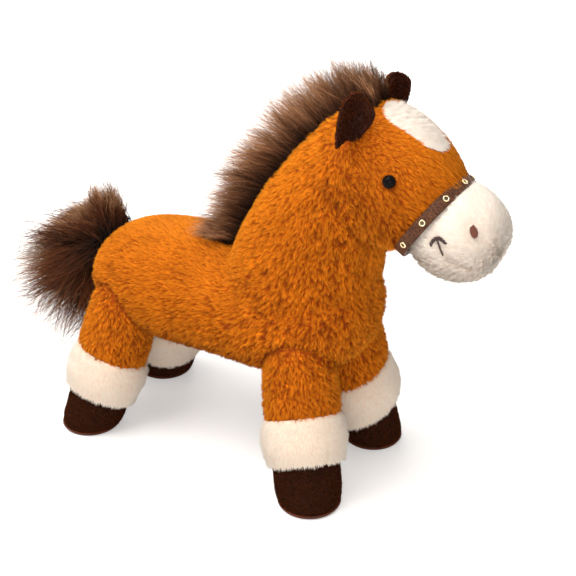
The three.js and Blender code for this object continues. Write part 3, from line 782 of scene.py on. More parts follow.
@cache
def pile_group() -> bpy.types.NodeTree:
    """The colour of a fibre from its tone and its height, as a shared group."""
    inputs = {"Root": (0.1, 0.1, 0.1, 1), "Body": (0.5, 0.5, 0.5, 1), "Tip": (0.8, 0.8, 0.8, 1)}
    inputs |= {"Root Reach": 0.5, "Tip Start": 0.6}
    inputs |= {"Low Tint": (0.5, 0.5, 0.5), "High Tint": (1.5, 1.5, 1.5)}
    w, given = open_group("pile_colour", inputs, {"Color": "Color"})
    place = w.node("UVMap", {"uv_map": "OFBake"}).outputs["UV"]
    tone, height, _ = w.node("SeparateXYZ", i0=place).outputs
    # From the root colour, darker for painted shade deep among the fibres, to the tip colour.
    low = w.node("MapRange", SMOOTH, Value=height, From_Min=0.0, From_Max=given["Root Reach"])
    high = w.node("MapRange", SMOOTH, Value=height, From_Min=given["Tip Start"], From_Max=1.0)
    lower = w.mixed(low.outputs[0], given["Root"], given["Body"])
    whole = w.mixed(high.outputs[0], lower, given["Tip"])
    # The tone picks a tint from the low, shaded version to the high, lit one: painted light and
    # shade, with random tone.
    ends = {"i4": given["Low Tint"], "i5": given["High Tint"]}
    tint = w.node("Mix", {"data_type": "VECTOR"}, i0=tone, **ends).outputs[1]
    tinted = w.node("VectorMath", {"operation": "MULTIPLY"}, i0=whole, i1=tint)
    w.node("NodeGroupOutput", i0=tinted.outputs[0])
    return w.tree


@cache
def nap_group() -> bpy.types.NodeTree:
    """A brushed, blotchy cloth: colour and height, as a shared group."""
    inputs = {"Dark": (0.1, 0.05, 0.02, 1), "Light": (0.3, 0.15, 0.06, 1)}
    inputs |= {"Blotch Scale": 90.0, "Fibre Scale": 1800.0, "Fibre Share": 0.5}
    w, given = open_group("brushed_nap", inputs, COLOUR_AND_HEIGHT)
    at = w.node("TexCoord").outputs["Object"]
    blotch = w.node("TexNoise", Vector=at, Scale=given["Blotch Scale"], Detail=4.0, Roughness=0.6)
    fibre = w.node("TexNoise", Vector=at, Scale=given["Fibre Scale"], Detail=2.0, Roughness=0.5)
    ends = {"i2": blotch.outputs[0], "i3": fibre.outputs[0]}
    both = w.node("Mix", {"data_type": "FLOAT"}, i0=given["Fibre Share"], **ends).outputs[0]
    sharp = w.node("MapRange", Value=both, From_Min=0.34, From_Max=0.66)
    w.node("NodeGroupOutput", i0=w.mixed(sharp.outputs[0], given["Dark"], given["Light"]), i1=both)
    return w.tree


@cache
def grain_group() -> bpy.types.NodeTree:
    """Leather grain: cells of a pebbled surface, as a shared group."""
    inputs = {"Valley": (0.05, 0.02, 0.01, 1), "Crown": (0.2, 0.08, 0.04, 1), "Scale": 900.0}
    w, given = open_group("pebble_grain", inputs, COLOUR_AND_HEIGHT)
    place = w.node("TexCoord").outputs["Object"]
    cell = w.node("TexVoronoi", {"feature": "DISTANCE_TO_EDGE"}, Vector=place, Scale=given["Scale"])
    crown = w.node("MapRange", SMOOTH, Value=cell.outputs[0], From_Max=0.25).outputs[0]
    wear = w.node("TexNoise", Vector=place, Scale=140.0, Detail=5.0, Roughness=0.65)
    times = {"operation": "MULTIPLY"}
    worn = w.node("Math", times, i0=crown, i1=wear.outputs[0])
    more = w.node("Math", times | {"use_clamp": True}, i0=worn.outputs[0], i1=1.8)
    shown = w.mixed(more.outputs[0], given["Valley"], given["Crown"])
    w.node("NodeGroupOutput", i0=shown, i1=crown)
    return w.tree


@cache
def twist_group() -> bpy.types.NodeTree:
    """The plies of a sewing thread, as a shared group."""
    inputs = {"Shadow": (0.05, 0.02, 0.01, 1), "Light": (0.2, 0.08, 0.04, 1), "Scale": 900.0}
    w, given = open_group("thread_plies", inputs, COLOUR_AND_HEIGHT)
    place = w.node("TexCoord").outputs["Object"]
    ply = {"wave_type": "BANDS", "bands_direction": "DIAGONAL", "wave_profile": "SIN"}
    wave = w.node("TexWave", ply, Vector=place, Scale=given["Scale"], Distortion=1.5, Detail=2.0)
    height = wave.outputs["Fac"]
    w.node("NodeGroupOutput", i0=w.mixed(height, given["Shadow"], given["Light"]), i1=height)
    return w.tree


def new_material(name: str) -> tuple[bpy.types.Material, Wiring]:
    """An empty node material and its wiring."""
    material = bpy.data.materials.new(name)
    material.use_nodes = True
    material.node_tree.nodes.clear()
    return material, Wiring(material.node_tree)


@dataclass(frozen=True)
class Finish:
    """What a piece is made of, by the name of its material."""

    name: str

    def built(
        self,
        group: bpy.types.NodeTree,
        inputs: dict,
        relief: Optional[tuple[float, float]] = None,
        **surface: object,
    ) -> bpy.types.Material:
        """Build the material from a shared group and one shader.

        Args:
            group: the shared group, which gives a colour.
            inputs: the values of the group's inputs.
            relief: the strength and the depth of the group's relief, where it gives a height.
            **surface: the shader's own values.

        Returns:
            The material.
        """
        material, w = new_material(self.name)
        shade = w.node("Group", {"node_tree": group}, **inputs)
        if relief is not None:
            height = shade.outputs["Height"]
            bump = w.node("Bump", Strength=relief[0], Distance=relief[1], Height=height)
            surface["Normal"] = bump.outputs[0]
        shader = w.node("BsdfPrincipled", Base_Color=shade.outputs["Color"], **surface)
        w.node("OutputMaterial", Surface=shader.outputs[0])
        return material


@dataclass(frozen=True)
class PileFinish(Finish):
    """The colours of a pile from its root to its tip, and its tints at the low and high tones."""

    # root: darker than the body, painted shade deep among the fibres
    root: Colour
    body: Colour
    tip: Colour
    # low and high: the pile's shaded and lit versions, which its tone picks between
    low: tuple[float, float, float]
    high: tuple[float, float, float]
    root_reach: float = 0.6
    tip_start: float = 0.55
    roughness: float = 0.85
    specular: float = 0.1

    def make(self) -> bpy.types.Material:
        """Build the material."""
        inputs = {"Root": colour(self.root), "Body": colour(self.body), "Tip": colour(self.tip)}
        inputs |= {"Root_Reach": self.root_reach, "Tip_Start": self.tip_start}
        inputs |= {"Low_Tint": self.low, "High_Tint": self.high}
        return self.built(
            pile_group(), inputs, Roughness=self.roughness, Specular_IOR_Level=self.specular
        )


@dataclass(frozen=True)
class NapFinish(Finish):
    """A brushed cloth such as suede, velour or the backing under a pile."""

    dark: Colour
    light: Colour
    blotch: float = 90.0
    fibre: float = 1800.0
    sheen: float = 0.0
    sheen_tint: Colour = (255, 255, 255)

    def make(self) -> bpy.types.Material:
        """Build the material."""
        inputs = {"Dark": colour(self.dark), "Light": colour(self.light), "Fibre_Share": 0.5}
        inputs |= {"Blotch_Scale": self.blotch, "Fibre_Scale": self.fibre}
        return self.built(
            nap_group(), inputs, (0.25, 0.0006), Roughness=0.9, Sheen_Weight=self.sheen,
            Sheen_Roughness=0.4, Sheen_Tint=colour(self.sheen_tint), Specular_IOR_Level=0.2,
        )


@dataclass(frozen=True)
class GrainFinish(Finish):
    """An imitation leather with a pebbled grain."""

    valley: Colour
    crown: Colour

    def make(self) -> bpy.types.Material:
        """Build the material."""
        inputs = {"Valley": colour(self.valley), "Crown": colour(self.crown), "Scale": 900.0}
        return self.built(
            grain_group(), inputs, (0.35, 0.0003), Roughness=0.55, Specular_IOR_Level=0.2
        )


@dataclass(frozen=True)
class ThreadFinish(Finish):
    """A twisted sewing thread."""

    shadow: Colour
    light: Colour

    def make(self) -> bpy.types.Material:
        """Build the material."""
        inputs = {"Shadow": colour(self.shadow), "Light": colour(self.light), "Scale": 420.0}
        return self.built(
            twist_group(), inputs, (0.5, 0.0002), Roughness=0.6, Sheen_Weight=0.2,
            Specular_IOR_Level=0.35,
        )


@dataclass(frozen=True)
class HardFinish(Finish):
    """Metal or moulded plastic with a little unevenness."""

    dark: Colour
    light: Colour
    roughness: float
    metallic: float = 0.0
    gloss: float = 0.5

    def make(self) -> bpy.types.Material:
        """Build the material."""
        inputs = {"Dark": colour(self.dark), "Light": colour(self.light), "Fibre_Share": 0.2}
        inputs |= {"Blotch_Scale": 500.0, "Fibre_Scale": 3000.0}
        return self.built(
            nap_group(), inputs, (0.03, 0.0002), Metallic=self.metallic, Roughness=self.roughness,
            Specular_IOR_Level=self.gloss,
        )


COAT = PileFinish(
    "coat_pile", (134, 55, 3), (195, 101, 9), (224, 140, 32), (0.36, 0.25, 0.13), (1.65, 1.76, 1.8)
)
CREAM = PileFinish(
    "cream_pile", (249, 223, 199), (254, 237, 218), (255, 247, 235),
    (0.57, 0.45, 0.36), (1.35, 1.43, 1.5),
)
WHITE = PileFinish(
    "white_pile", (249, 232, 216), (253, 243, 230), (255, 250, 242),
    (0.54, 0.42, 0.33), (1.35, 1.42, 1.48),
)
LONG = PileFinish(
    "mane_pile", (18, 7, 3), (124, 78, 49), (172, 129, 94), (0.2, 0.15, 0.12), (2.1, 2.12, 2.15),
    root_reach=0.82, tip_start=0.45, roughness=0.7,
)
TAIL_PILE = PileFinish(
    "tail_pile", (18, 7, 3), (93, 51, 27), (176, 134, 98), (0.2, 0.16, 0.14), (2.0, 2.05, 2.1),
    root_reach=0.7, tip_start=0.6, roughness=0.7,
)
EAR_PILE = PileFinish(
    "ear_pile", (20, 7, 2), (52, 21, 8), (118, 60, 31), (0.22, 0.17, 0.13), (2.1, 2.1, 2.0),
    specular=0.02,
)
HOOF_PILE = PileFinish(
    "hoof_pile", (22, 8, 2), (52, 22, 7), (98, 46, 15), (0.3, 0.26, 0.22), (1.9, 1.95, 2.0),
    specular=0.02,
)
# The backing cloths are about as dark as their piles' roots: painted shade at the bottom of the
# pile.
COAT_CLOTH = NapFinish("coat_cloth", (138, 54, 3), (172, 76, 5))
CREAM_CLOTH = NapFinish("cream_cloth", (234, 204, 180), (248, 226, 206))
WHITE_CLOTH = NapFinish("white_cloth", (240, 220, 204), (250, 238, 224))
# Near-black cloth under the mane and in the tail: painted shade deep inside the long pile.
DARK_CLOTH = NapFinish("dark_cloth", (16, 8, 4), (34, 18, 10))
EAR_CLOTH = NapFinish("ear_velour", (30, 12, 7), (64, 30, 18), sheen=0.3, sheen_tint=(150, 80, 50))
HOOF_CLOTH = NapFinish("hoof_suede", (28, 11, 5), (56, 25, 11), 120.0, 2200.0, 0.1, (180, 84, 34))
PIPING = NapFinish("hoof_piping", (70, 28, 12), (110, 50, 22), sheen=0.3)
STRAP = GrainFinish("strap_leather", (48, 24, 13), (112, 68, 42))
THREAD = ThreadFinish("mouth_thread", (24, 10, 8), (74, 38, 31))
NOSTRIL = ThreadFinish("nostril_thread", (56, 22, 13), (138, 72, 46))
EYELET = HardFinish("eyelet_gilt", (206, 184, 132), (244, 232, 200), roughness=0.2, metallic=1.0)
HOLE = HardFinish("eyelet_hole", (52, 42, 32), (112, 96, 74), roughness=0.7)
EYE = HardFinish("eye_black", (5, 4, 4), (12, 9, 8), roughness=0.28, gloss=0.06)
WASHER = HardFinish("washer_plastic", (222, 217, 206), (236, 232, 224), roughness=0.45)


# Pieces

MOST_TRIANGLES = 190_000


@cache
def material_of(finish: Finish) -> bpy.types.Material:
    """The material of a finish, made once."""
    return finish.make()


def place_piece(
    piece: bpy.types.Object,
    body: str,
    finish: Finish,
    replaces: Sequence[str] = (),
) -> None:
    """Dress a piece and tell the frame what carries it.

    Args:
        piece: the object.
        body: the body that it rides on.
        finish: what it is made of.
        replaces: the nodes that it stands for.
    """
    piece.data.materials.append(material_of(finish))
    if replaces:
        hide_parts(*replaces)
    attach(piece, body)
    log.info("%s: %d faces on %s", piece.name, len(piece.data.polygons), body)


def place_pile(
    name: str, fibres: Fibres, body: str, finish: Finish, long: bool = False
) -> None:
    """Make pieces of pile, none of them too heavy.

    Args:
        name: the start of the pieces' names.
        fibres: the strands.
        body: the body that they ride on.
        finish: what they are made of.
        long: whether they are blades that cast shadows, and not short spikes.
    """
    each = 2 * fibres.points.shape[1] - 3 if long else 3
    shares = math.ceil(len(fibres) * each / MOST_TRIANGLES)
    order = np.argsort(fibres.points[:, 0, 0], kind="stable")
    for k, rows in enumerate(np.array_split(order, shares)):
        title = name if shares == 1 else f"{name}_{k + 1}"
        piece = (blade_mesh if long else spike_mesh)(title, fibres.chosen(rows))
        piece.visible_shadow = long
        place_piece(piece, body, finish)


# The forms that the frame's solids are made of

TORSO = StuffedForm(
    np.array([4.5, 0.0, 115.0]), 0, 219, 116, 90, 0.58,
    [0.93, 0.98, 0.98, 0.94, 0.9, 0.94, 1.02, 1.04, 1],
    [1.02, 1.05, 1.03, 0.98, 0.95, 0.98, 1.06, 1.13, 1.12],
    [-0.03, -0.01, 0, 0, -0.01, 0.02, 0.06, 0.15, 0.27],
)
HEAD = StuffedForm(np.array([120.5, 0.0, 227.0]), 34, 100, 80, 84, 0.75, [1, 1, 1, 1.06, 1.16])
SEAM_ALONG = 38
FACE_SEAM = HEAD.mid + SEAM_ALONG * HEAD.forward
MUZZLE = StuffedForm(FACE_SEAM + 16.5 * HEAD.forward + 4.2 * HEAD.up, 24, 62, 66, 60, 0.82)
# Below this height what lies ahead of the face's seam is the chest
CHIN_HEIGHT = 162
# How far along the head the eyes are, and degrees from its top
EYE_PLACE = (8.5, 63)


@dataclass
class NeckForm:
    """The bent bag between the shoulders and the back of the head."""

    base: Array = field(default_factory=lambda: np.array([57.0, 0, 126]))
    bend: Array = field(default_factory=lambda: np.array([69.0, 0, 190]))
    top: Array = field(default_factory=lambda: np.array([110.0, 0, 236]))
    depth: float = 102
    width: float = 94
    depth_shares: Sequence[float] = (1.06, 1.0, 0.9, 0.8, 0.74)
    width_shares: Sequence[float] = (1.08, 1.0, 0.92, 0.86, 0.84)

    def frame(self, place: float) -> tuple[Array, Array]:
        """The spine's point and the way to the back of the neck, at a share of its length."""
        a, b, c = self.base, self.bend, self.top
        point = (1 - place) ** 2 * a + 2 * place * (1 - place) * b + place**2 * c
        along = unit((1 - place) * (b - a) + place * (c - b))
        return point, np.array([-along[2], 0, along[0]])

    def ring(self, place: float, sides: int, grow: float) -> Array:
        """One ring of the bag's skin."""
        point, back = self.frame(place)
        deep = self.depth / 2 * float(share_at(self.depth_shares, np.array(place))) + grow
        wide = self.width / 2 * float(share_at(self.width_shares, np.array(place))) + grow
        angle = circle(sides)[:, None]
        return point + deep * np.cos(angle) * back + wide * np.sin(angle) * Y_AXIS

    def skin(self, rings: int, sides: int, grow: float) -> Surface:
        """The closed bag."""
        loops = np.array([self.ring(k / rings, sides, grow) for k in range(rings + 1)])
        return skin_of_rings(self.base, loops, self.top)

    def ridge(self, place: float) -> Array:
        """A point on the ridge at the back of the neck."""
        return self.ring(place, 4, 0)[0]


NECK = NeckForm()


def form_skin(form: StuffedForm, rings: int, sides: int, grow: float) -> Surface:
    """A stuffed form as a closed skin."""
    return skin_of_rings(*form.loops(rings, sides, grow))


def frame_at(point: Array, normal: Array, way_up: Array) -> Matrix:
    """A frame on a surface: Z along the normal, Y leaning to the way up."""
    side = unit(np.cross(way_up, normal))
    rows = np.eye(4)
    rows[:3] = np.stack([side, np.cross(normal, side), normal, point], 1)
    return Matrix(rows.tolist())


# The cloths, from the longest pile to the shortest

COAT_FUR = Pile(
    3.7, 0.42, 3.5, 40, 1.8, gather=0.5, wander=24, curl=0.3, bulge=0.9,
    tuft_tone=0.17, fibre_tone=0.1,
)
BLAZE_FUR = Pile(
    4.2, 0.46, 3.2, 44, 2.0, gather=0.12, wander=7, stray=9, bulge=0.1,
    tuft_tone=0.015, fibre_tone=0.02,
)
MUZZLE_FUR = Pile(
    3.0, 0.42, 3.6, 40, 2.2, gather=0.4, wander=18, stray=12, bulge=0.35,
    tuft_tone=0.035, fibre_tone=0.025,
)
CUFF_FUR = Pile(
    3.0, 0.46, 4.0, 22, 2.0, gather=0.1, wander=5, stray=9, curl=0.1, bulge=0.1,
    tuft_tone=0.01, fibre_tone=0.015,
)
EAR_NAP = Pile(
    1.3, 0.36, 4.6, 34, 1.5, gather=0.3, wander=15, stray=14, curl=0.15, bulge=0.5,
    tuft_tone=0.14, fibre_tone=0.12,
)
HOOF_NAP = Pile(
    1.2, 0.36, 4.6, 40, 1.5, gather=0.3, wander=16, stray=14, curl=0.15, bulge=0.4,
    tuft_tone=0.1, fibre_tone=0.12,
)


# Legs

# Where each pair's hips and soles are along the horse, and how many degrees the cuffs' seams slant
LEG_PLACES = {End.FRONT: (75.0, 93.0, 20), End.REAR: (-67.0, -95.0, -14)}


def off_torso(points: Array) -> Array:
    """About how many millimetres points near the hips lie outside the torso."""
    return TORSO.depth(points) / 0.055


@dataclass
class Leg:
    """One leg: its bag, cuff, hoof and sole."""

    end: End
    side: Side
    inset: float = 3.2
    cuff_inset: float = 2.6
    hoof_inset: float = 0.8
    hip_out: float = 31.0
    sole_out: float = 46.0
    hip_height: float = 100
    cuff_top: float = 60
    cuff_foot: float = 28
    hoof_top: float = 1.75
    hip_radius: float = 25.5
    foot_radius: float = 27.5
    cuff_radius: float = 30
    hoof_radius: float = 23
    piping_radius: float = 21.0

    def __post_init__(self) -> None:
        """Work out the leg's places, and its radius at some distances below the hip."""
        hip_along, sole_along, slant = LEG_PLACES[self.end]
        sign = self.side.value
        self.hip = np.array([hip_along, sign * self.hip_out, self.hip_height])
        self.sole = np.array([sole_along, sign * self.sole_out, 0.0])
        self.name = f"{self.end.value}_{self.side.word}"
        self.body = f"leg_{self.name}"
        turn, outward = math.radians(slant), math.radians(20)
        way = [-math.sin(turn), -sign * math.sin(outward), math.cos(turn) * math.cos(outward)]
        self.seam = unit(np.array(way))
        self.axis = unit(self.sole - self.hip)
        self.across = unit(np.cross(self.axis, X_AXIS))
        self.ahead = np.cross(self.across, self.axis)
        top, foot = self.cuff_top, self.cuff_foot
        heights = (self.hip_height, top, (top + foot) / 2, foot, 0)
        self.knots = [self.hip_height - height for height in heights]
        self.radii = [self.hip_radius, self.foot_radius, self.cuff_radius] + 2 * [self.foot_radius]

    def centre(self, height: float) -> Array:
        """Where the leg's centre line passes a height above the floor."""
        return self.hip + (self.sole - self.hip) * (self.hip_height - height) / self.hip_height

    def bag(self, grow: float) -> Surface:
        """The whole bag from the ball in the hip to the foot.

        Args:
            grow: how far outside the form, below zero for inside.

        Returns:
            The closed skin.
        """
        ball = np.linspace(-math.pi / 2, 0, 10)[1:-1]
        below = [self.hip_radius * math.sin(a) for a in ball]
        wide = [self.hip_radius * math.cos(a) for a in ball]
        for drop in np.linspace(0, self.hip_height, 51):
            below.append(float(drop))
            around = [drop - 4, drop - 2, drop, drop + 2, drop + 4]
            wide.append(float(np.mean(np.interp(around, self.knots, self.radii))))
        angle = circle(64)[:, None]
        ring = np.cos(angle) * self.ahead + np.sin(angle) * self.across
        loops = [
            self.hip + b * self.axis * (1 if b > 0 else (self.hip_radius + grow) / self.hip_radius)
            + (r + grow * (1 if b >= 0 else r / self.hip_radius)) * ring
            for b, r in zip(below, wide)
        ]
        start = self.hip - self.axis * (self.hip_radius + grow)
        return skin_of_rings(start, np.array(loops), self.hip + self.axis * self.hip_height)

    def pinched(self, skin: Surface) -> Surface:
        """Draw the bag in where its seams pull on it, with soft dents between."""
        points = skin.points
        line = self.hip + ((points - self.hip) @ self.axis)[:, None] * self.axis
        out = straight = points - line
        for height, pull in ((self.cuff_top, 0.05), (self.cuff_foot, 0.02)):
            away = (points - self.centre(height)) @ self.seam
            out = out * (1 - pull * bell(away, 4))[:, None]
        dents = 1 + 0.018 * ripple(points, 17, seed=float(self.hip[0] + self.hip[1]))
        return Surface(points - straight + out * dents[:, None], skin.faces)

    def gap(self, points: Array) -> Array:
        """How far points lie outside the bag, below zero inside it."""
        below = (points - self.hip) @ self.axis
        line = np.maximum(below, 0)[:, None] * self.axis
        away = np.linalg.norm(points - self.hip - line, axis=1)
        return away - np.interp(below, self.knots, self.radii)

    def off_cuts(self, normals: Array) -> Array:
        """Whether normals point away from the faces that close the seams."""
        return np.abs(normals @ self.seam) < 0.95

    def build(self) -> None:
        """Make and dress the leg's pieces."""
        high, low = self.centre(self.cuff_top), self.centre(self.cuff_foot)
        cuff = f"cuff_{self.name}"
        upper = cut_skin(self.pinched(self.bag(-self.inset)), high, -self.seam)
        cloth = mesh_of(f"{self.body}_cloth", upper)
        place_piece(cloth, self.body, COAT_CLOTH, [self.body])
        band = self.pinched(self.bag(-self.cuff_inset))
        band = cut_skin(cut_skin(band, high - 0.6 * self.seam, self.seam), low, -self.seam)
        cloth = mesh_of(f"{cuff}_cloth", band)
        place_piece(cloth, self.body, CREAM_CLOTH, [cuff])
        seed = 100 + 10 * (self.end is End.REAR) + (self.side is Side.LEFT)
        pile = grow_pile(upper, COAT_FUR, self.upper_groom(high), seed)
        place_pile(f"{self.body}_pile", pile, self.body, COAT)
        pile = grow_pile(band, CUFF_FUR, self.cuff_groom(high), seed + 50)
        place_pile(f"{cuff}_pile", pile, self.body, CREAM)
        self.build_hoof(low)
        self.build_sole()

    def lay(self, points: Array) -> Array:
        """The way the leg's pile is brushed: down, and to and fro."""
        return self.axis + 0.15 * self.ahead + 0.35 * ripple(points, 26, 13.0)[:, None] * self.ahead

    def upper_groom(self, high: Array) -> Groom:
        """How the pile above the cuff grows: low at the torso, with painted shade in the creases.

        Args:
            high: where the cuff's upper seam crosses the leg.

        Returns:
            The groom.
        """
        def keep(points: Array, normals: Array) -> Array:
            return self.off_cuts(normals) & (TORSO.depth(points) > -0.18)

        def length(points: Array) -> Array:
            return 1 - 0.45 * bell(off_torso(points) + 3, 2.5)

        def mess(points: Array) -> Array:
            return np.clip(0.7 + 0.5 * ripple(points, 24, 17.0), 0.4, 1)

        def shade(points: Array) -> Array:
            # Painted shade in the creases at the torso and along the cuff's seam, with random
            # patches.
            torso_crease_shade = bell(off_torso(points) + 2.8, 1.5)
            foot = bell((points - high) @ self.seam, 2.5)
            return 0.08 - 0.6 * torso_crease_shade - 0.12 * foot + 0.1 * ripple(points, 13, 19.0)

        return Groom(self.lay, keep, length, mess, shade)

    def cuff_groom(self, high: Array) -> Groom:
        """How the cuff's pile grows: a little darker at its upper seam, painted shade under the
        coat's edge.

        Args:
            high: where the upper seam crosses the leg.

        Returns:
            The groom.
        """
        def shade(points: Array) -> Array:
            # Painted shade along the upper seam, under the coat's edge.
            top = bell((points - high) @ self.seam, 1.5)
            return 0.09 - 0.25 * top + 0.03 * ripple(points, 14, 23.0)

        return Groom(self.lay, lambda p, n: self.off_cuts(n), shade=shade)

    def build_hoof(self, low: Array) -> None:
        """Make the suede hoof, round at its foot, with painted shade under the cuff and a painted
        sheen along its foot.

        Args:
            low: where the cuff's lower seam crosses the leg.
        """
        hoof = f"hoof_{self.name}"
        heights = np.concatenate([np.linspace(60, 12, 25), np.linspace(11, self.hoof_top, 14)])
        shares = np.interp(heights, [1.7, 2.8, 4.5, 7, 11], [0.9, 0.93, 0.96, 0.985, 1.0])
        angle = circle(72)
        ring = np.stack([np.cos(angle), np.sin(angle), 0 * angle], 1)
        radius = self.hoof_radius - self.hoof_inset
        loops = np.array([self.centre(h) + radius * s * ring for h, s in zip(heights, shares)])
        skin = skin_of_rings(self.centre(60), loops, self.centre(self.hoof_top))
        points = skin.points
        dents = 0.35 * ripple(points, 11, seed=float(self.sole[0])) * ramp(points[:, 2], 0, 8)
        out = unit((points - self.sole) * np.array([1, 1, 0]))
        skin = Surface(points + out * dents[:, None], skin.faces)
        skin = cut_skin(skin, low + 2.6 * self.seam, self.seam)
        place_piece(mesh_of(f"{hoof}_suede", skin), self.body, HOOF_CLOTH, [hoof])

        def lay(points: Array) -> Array:
            return np.broadcast_to(self.axis, points.shape)

        def keep(points: Array, normals: Array) -> Array:
            return self.off_cuts(normals) & (points[:, 2] > 2.4)

        def shade(points: Array) -> Array:
            # Painted sheen along the foot and painted shade under the cuff, with random patches.
            edge, top = bell(points[:, 2] - 3, 3), bell((points - low) @ self.seam, 5)
            return 0.2 * edge + 0.12 * ripple(points, 9, 5.0) - 0.25 * top

        pile = grow_pile(skin, HOOF_NAP, Groom(lay, keep, shade=shade), 131)
        place_pile(f"{hoof}_nap", pile, self.body, HOOF_PILE)

    def build_sole(self) -> None:
        """Make the sole, and the piping between it and the hoof."""
        sole = f"sole_{self.name}"
        rim = [(0, 0), (19.5, 0), (20.6, 0.25), (20.9, 0.8), (20.7, 1.4), (19.6, 1.7), (0, 1.7)]
        disc = lathe(rim, 72, Matrix.Translation(Vector(self.sole)))
        place_piece(mesh_of(f"{sole}_suede", disc), self.body, HOOF_CLOTH, [sole])
        turn = circle(144)
        reach = self.piping_radius * (1 + 0.006 * np.sin(36 * turn))
        path = np.stack([reach * np.cos(turn), reach * np.sin(turn), 0 * turn + 1.9], 1)
        piping = tube(self.sole + path, np.full(144, 0.55), 8, closed=True)
        place_piece(mesh_of(f"hoof_{self.name}_piping", piping), self.body, PIPING)


# Body, neck and head


@dataclass
class Trunk:
    """The coat-coloured body, neck and head, with the blaze."""

    legs: Sequence[Leg]
    inset: float = 3.2
    voxel: float = 2.4
    bare_seam: float = 4.4
    bare_leg: float = 3.3
    bare_eye: float = 4.7
    blaze_along: float = -7.0
    blaze_length: float = 42
    blaze_top: float = 13
    blaze_tip: float = 11

    def __post_init__(self) -> None:
        """Work out the blaze's frame and the eyes' places."""
        point, normal = HEAD.surface_at(self.blaze_along, 0)
        self.blaze_frame = np.array(frame_at(point, normal, -HEAD.forward), float)
        along, angle = EYE_PLACE
        self.eyes = [HEAD.surface_at(along, s.value * angle)[0] for s in Side]

    def blaze_gap(self, points: Array) -> Array:
        """How far points lie outside the teardrop of the blaze, below zero inside it."""
        local = (points - self.blaze_frame[:3, 3]) @ self.blaze_frame[:3, :3]
        top = self.blaze_length / 2 - self.blaze_top
        tip = self.blaze_tip - self.blaze_length / 2
        x, y = np.abs(local[:, 0]), top - local[:, 1]
        height = top - tip
        b = (self.blaze_top - self.blaze_tip) / height
        a = math.sqrt(1 - b * b)
        k = -b * x + a * y
        flank, point = a * x + b * y - self.blaze_top, np.hypot(x, y - height) - self.blaze_tip
        lower = np.where(k > a * height, point, flank)
        gap = np.where(k < 0, np.hypot(x, y) - self.blaze_top, lower)
        return np.where(local[:, 2] > -25, gap, 50.0)

    def on_face(self, points: Array) -> Array:
        """How far points belong to the head, from 0 to 1."""
        return ramp(points[:, 0], 92, 110) * ramp(points[:, 2], 188, 206)

    def grooves(self, points: Array) -> Array:
        """How deep points lie in the long brushed grooves of the flank, from 0 to 1."""
        x, z = points[:, 0], points[:, 2]
        lines = np.abs(ripple(points * np.array([0.2, 1.0, 1.0]), 8.0, 11.0))
        broken = 0.6 + 2.4 * ripple(points * np.array([0.5, 1.0, 1.0]), 24.0, 4.0)
        back = np.clip((174 + 0.6 * np.maximum(x, 0) - z) / 30, 0, 1)
        side = ramp(x, 62, 22) * ramp(z, 92, 106) * back
        return np.clip(1 - lines / 0.085, 0, 1) * np.clip(broken, 0, 1) * side

    def cloth(self) -> Surface:
        """The backing cloth of the whole body in one even skin."""
        parts = [
            form_skin(TORSO, 60, 72, -self.inset),
            NECK.skin(30, 72, -self.inset),
            form_skin(HEAD, 48, 72, -self.inset),
        ]
        melt = {"REMESH": {"mode": "VOXEL", "voxel_size": self.voxel * MM}}
        skin = smoothed(modified(merged(parts), melt), 12)
        points = skin.points
        dents = 0.5 * ripple(points, 30, 3.0) + 0.2 * ripple(points, 12, 7.0)
        dents = dents - 0.55 * self.grooves(points)
        return Surface(points + skin.normals() * dents[:, None], skin.faces)

    def lay(self, points: Array) -> Array:
        """The way the coat is brushed: back along the body, down the neck, forward on the face."""
        face = self.on_face(points)
        chest = ramp(points[:, 0], 20, 70) * (1 - face)
        low = np.clip(-(points - HEAD.mid) @ HEAD.up / 30, 0, 1)
        way = np.outer(face, [0.8, 0, -0.45]) + np.outer(face * low, [0.0, 0, -0.9])
        way = way + np.outer(chest, [-0.3, 0, -1.0]) + np.outer(1 - face - chest, [-1.0, 0, -0.3])
        way[:, 2] += 0.5 * ripple(points, 28, 5.0)
        way[:, 0] += 0.35 * ripple(points, 22, 9.0)
        return way

    def mane_side(self, points: Array) -> Array:
        """How near points of the neck lie to the mane, from 0 to 1."""
        x, z = points[:, 0], points[:, 2]
        return np.clip(1 - (x - 0.55 * (z - 165)) / 50, 0, 1) * ramp(z, 150, 170)

    def mess(self, points: Array) -> Array:
        """How tousled the coat is: calm on the back and the forehead, wild on cheeks and chest."""
        x, z = points[:, 0], points[:, 2]
        face = self.on_face(points)
        torso = 0.3 + 0.5 * ramp(z, 138, 93) + 0.5 * ramp(x, 5, 55)
        head = 0.62 - 0.5 * (points - HEAD.mid) @ HEAD.up / 40
        wild = torso * (1 - face) + head * face - 0.35 * self.mane_side(points) * (1 - face)
        return np.clip(wild + 0.25 * ripple(points, 26, 15.0), 0.22, 1.05)

    def shade(self, points: Array) -> Array:
        """Where the coat is lighter or darker: painted shade under the belly and in the creases."""
        x, z = points[:, 0], points[:, 2]
        face = self.on_face(points)
        ahead, rise = (points - HEAD.mid) @ HEAD.forward, (points - HEAD.mid) @ HEAD.up
        # Painted shade under the belly; a little lighter at the chest.
        tone = 0.03 - 0.6 * ramp(z, 100, 83) + 0.055 * ramp(x, 45, 75) * (1 - face)
        # Painted shade in the fold under the jaw, where the head meets the neck.
        tone = tone - 0.34 * bell(HEAD.depth(points) - 0.05, 0.1) * ramp(z, 232, 222)
        # A lighter jaw, a darker cheek, and lighter along the mane.
        jaw = bell(ahead - 2, 17) * bell(rise + 24, 9)
        cheek = bell(ahead - 3, 15) * bell(rise + 1, 10)
        tone = tone + face * (0.18 * jaw - 0.1 * cheek) + 0.12 * (1 - face) * self.mane_side(points)
        # Painted light: the head lighter towards its top and darker below.
        tone = tone + 0.1 * face * np.clip(rise / 40, -0.8, 1)
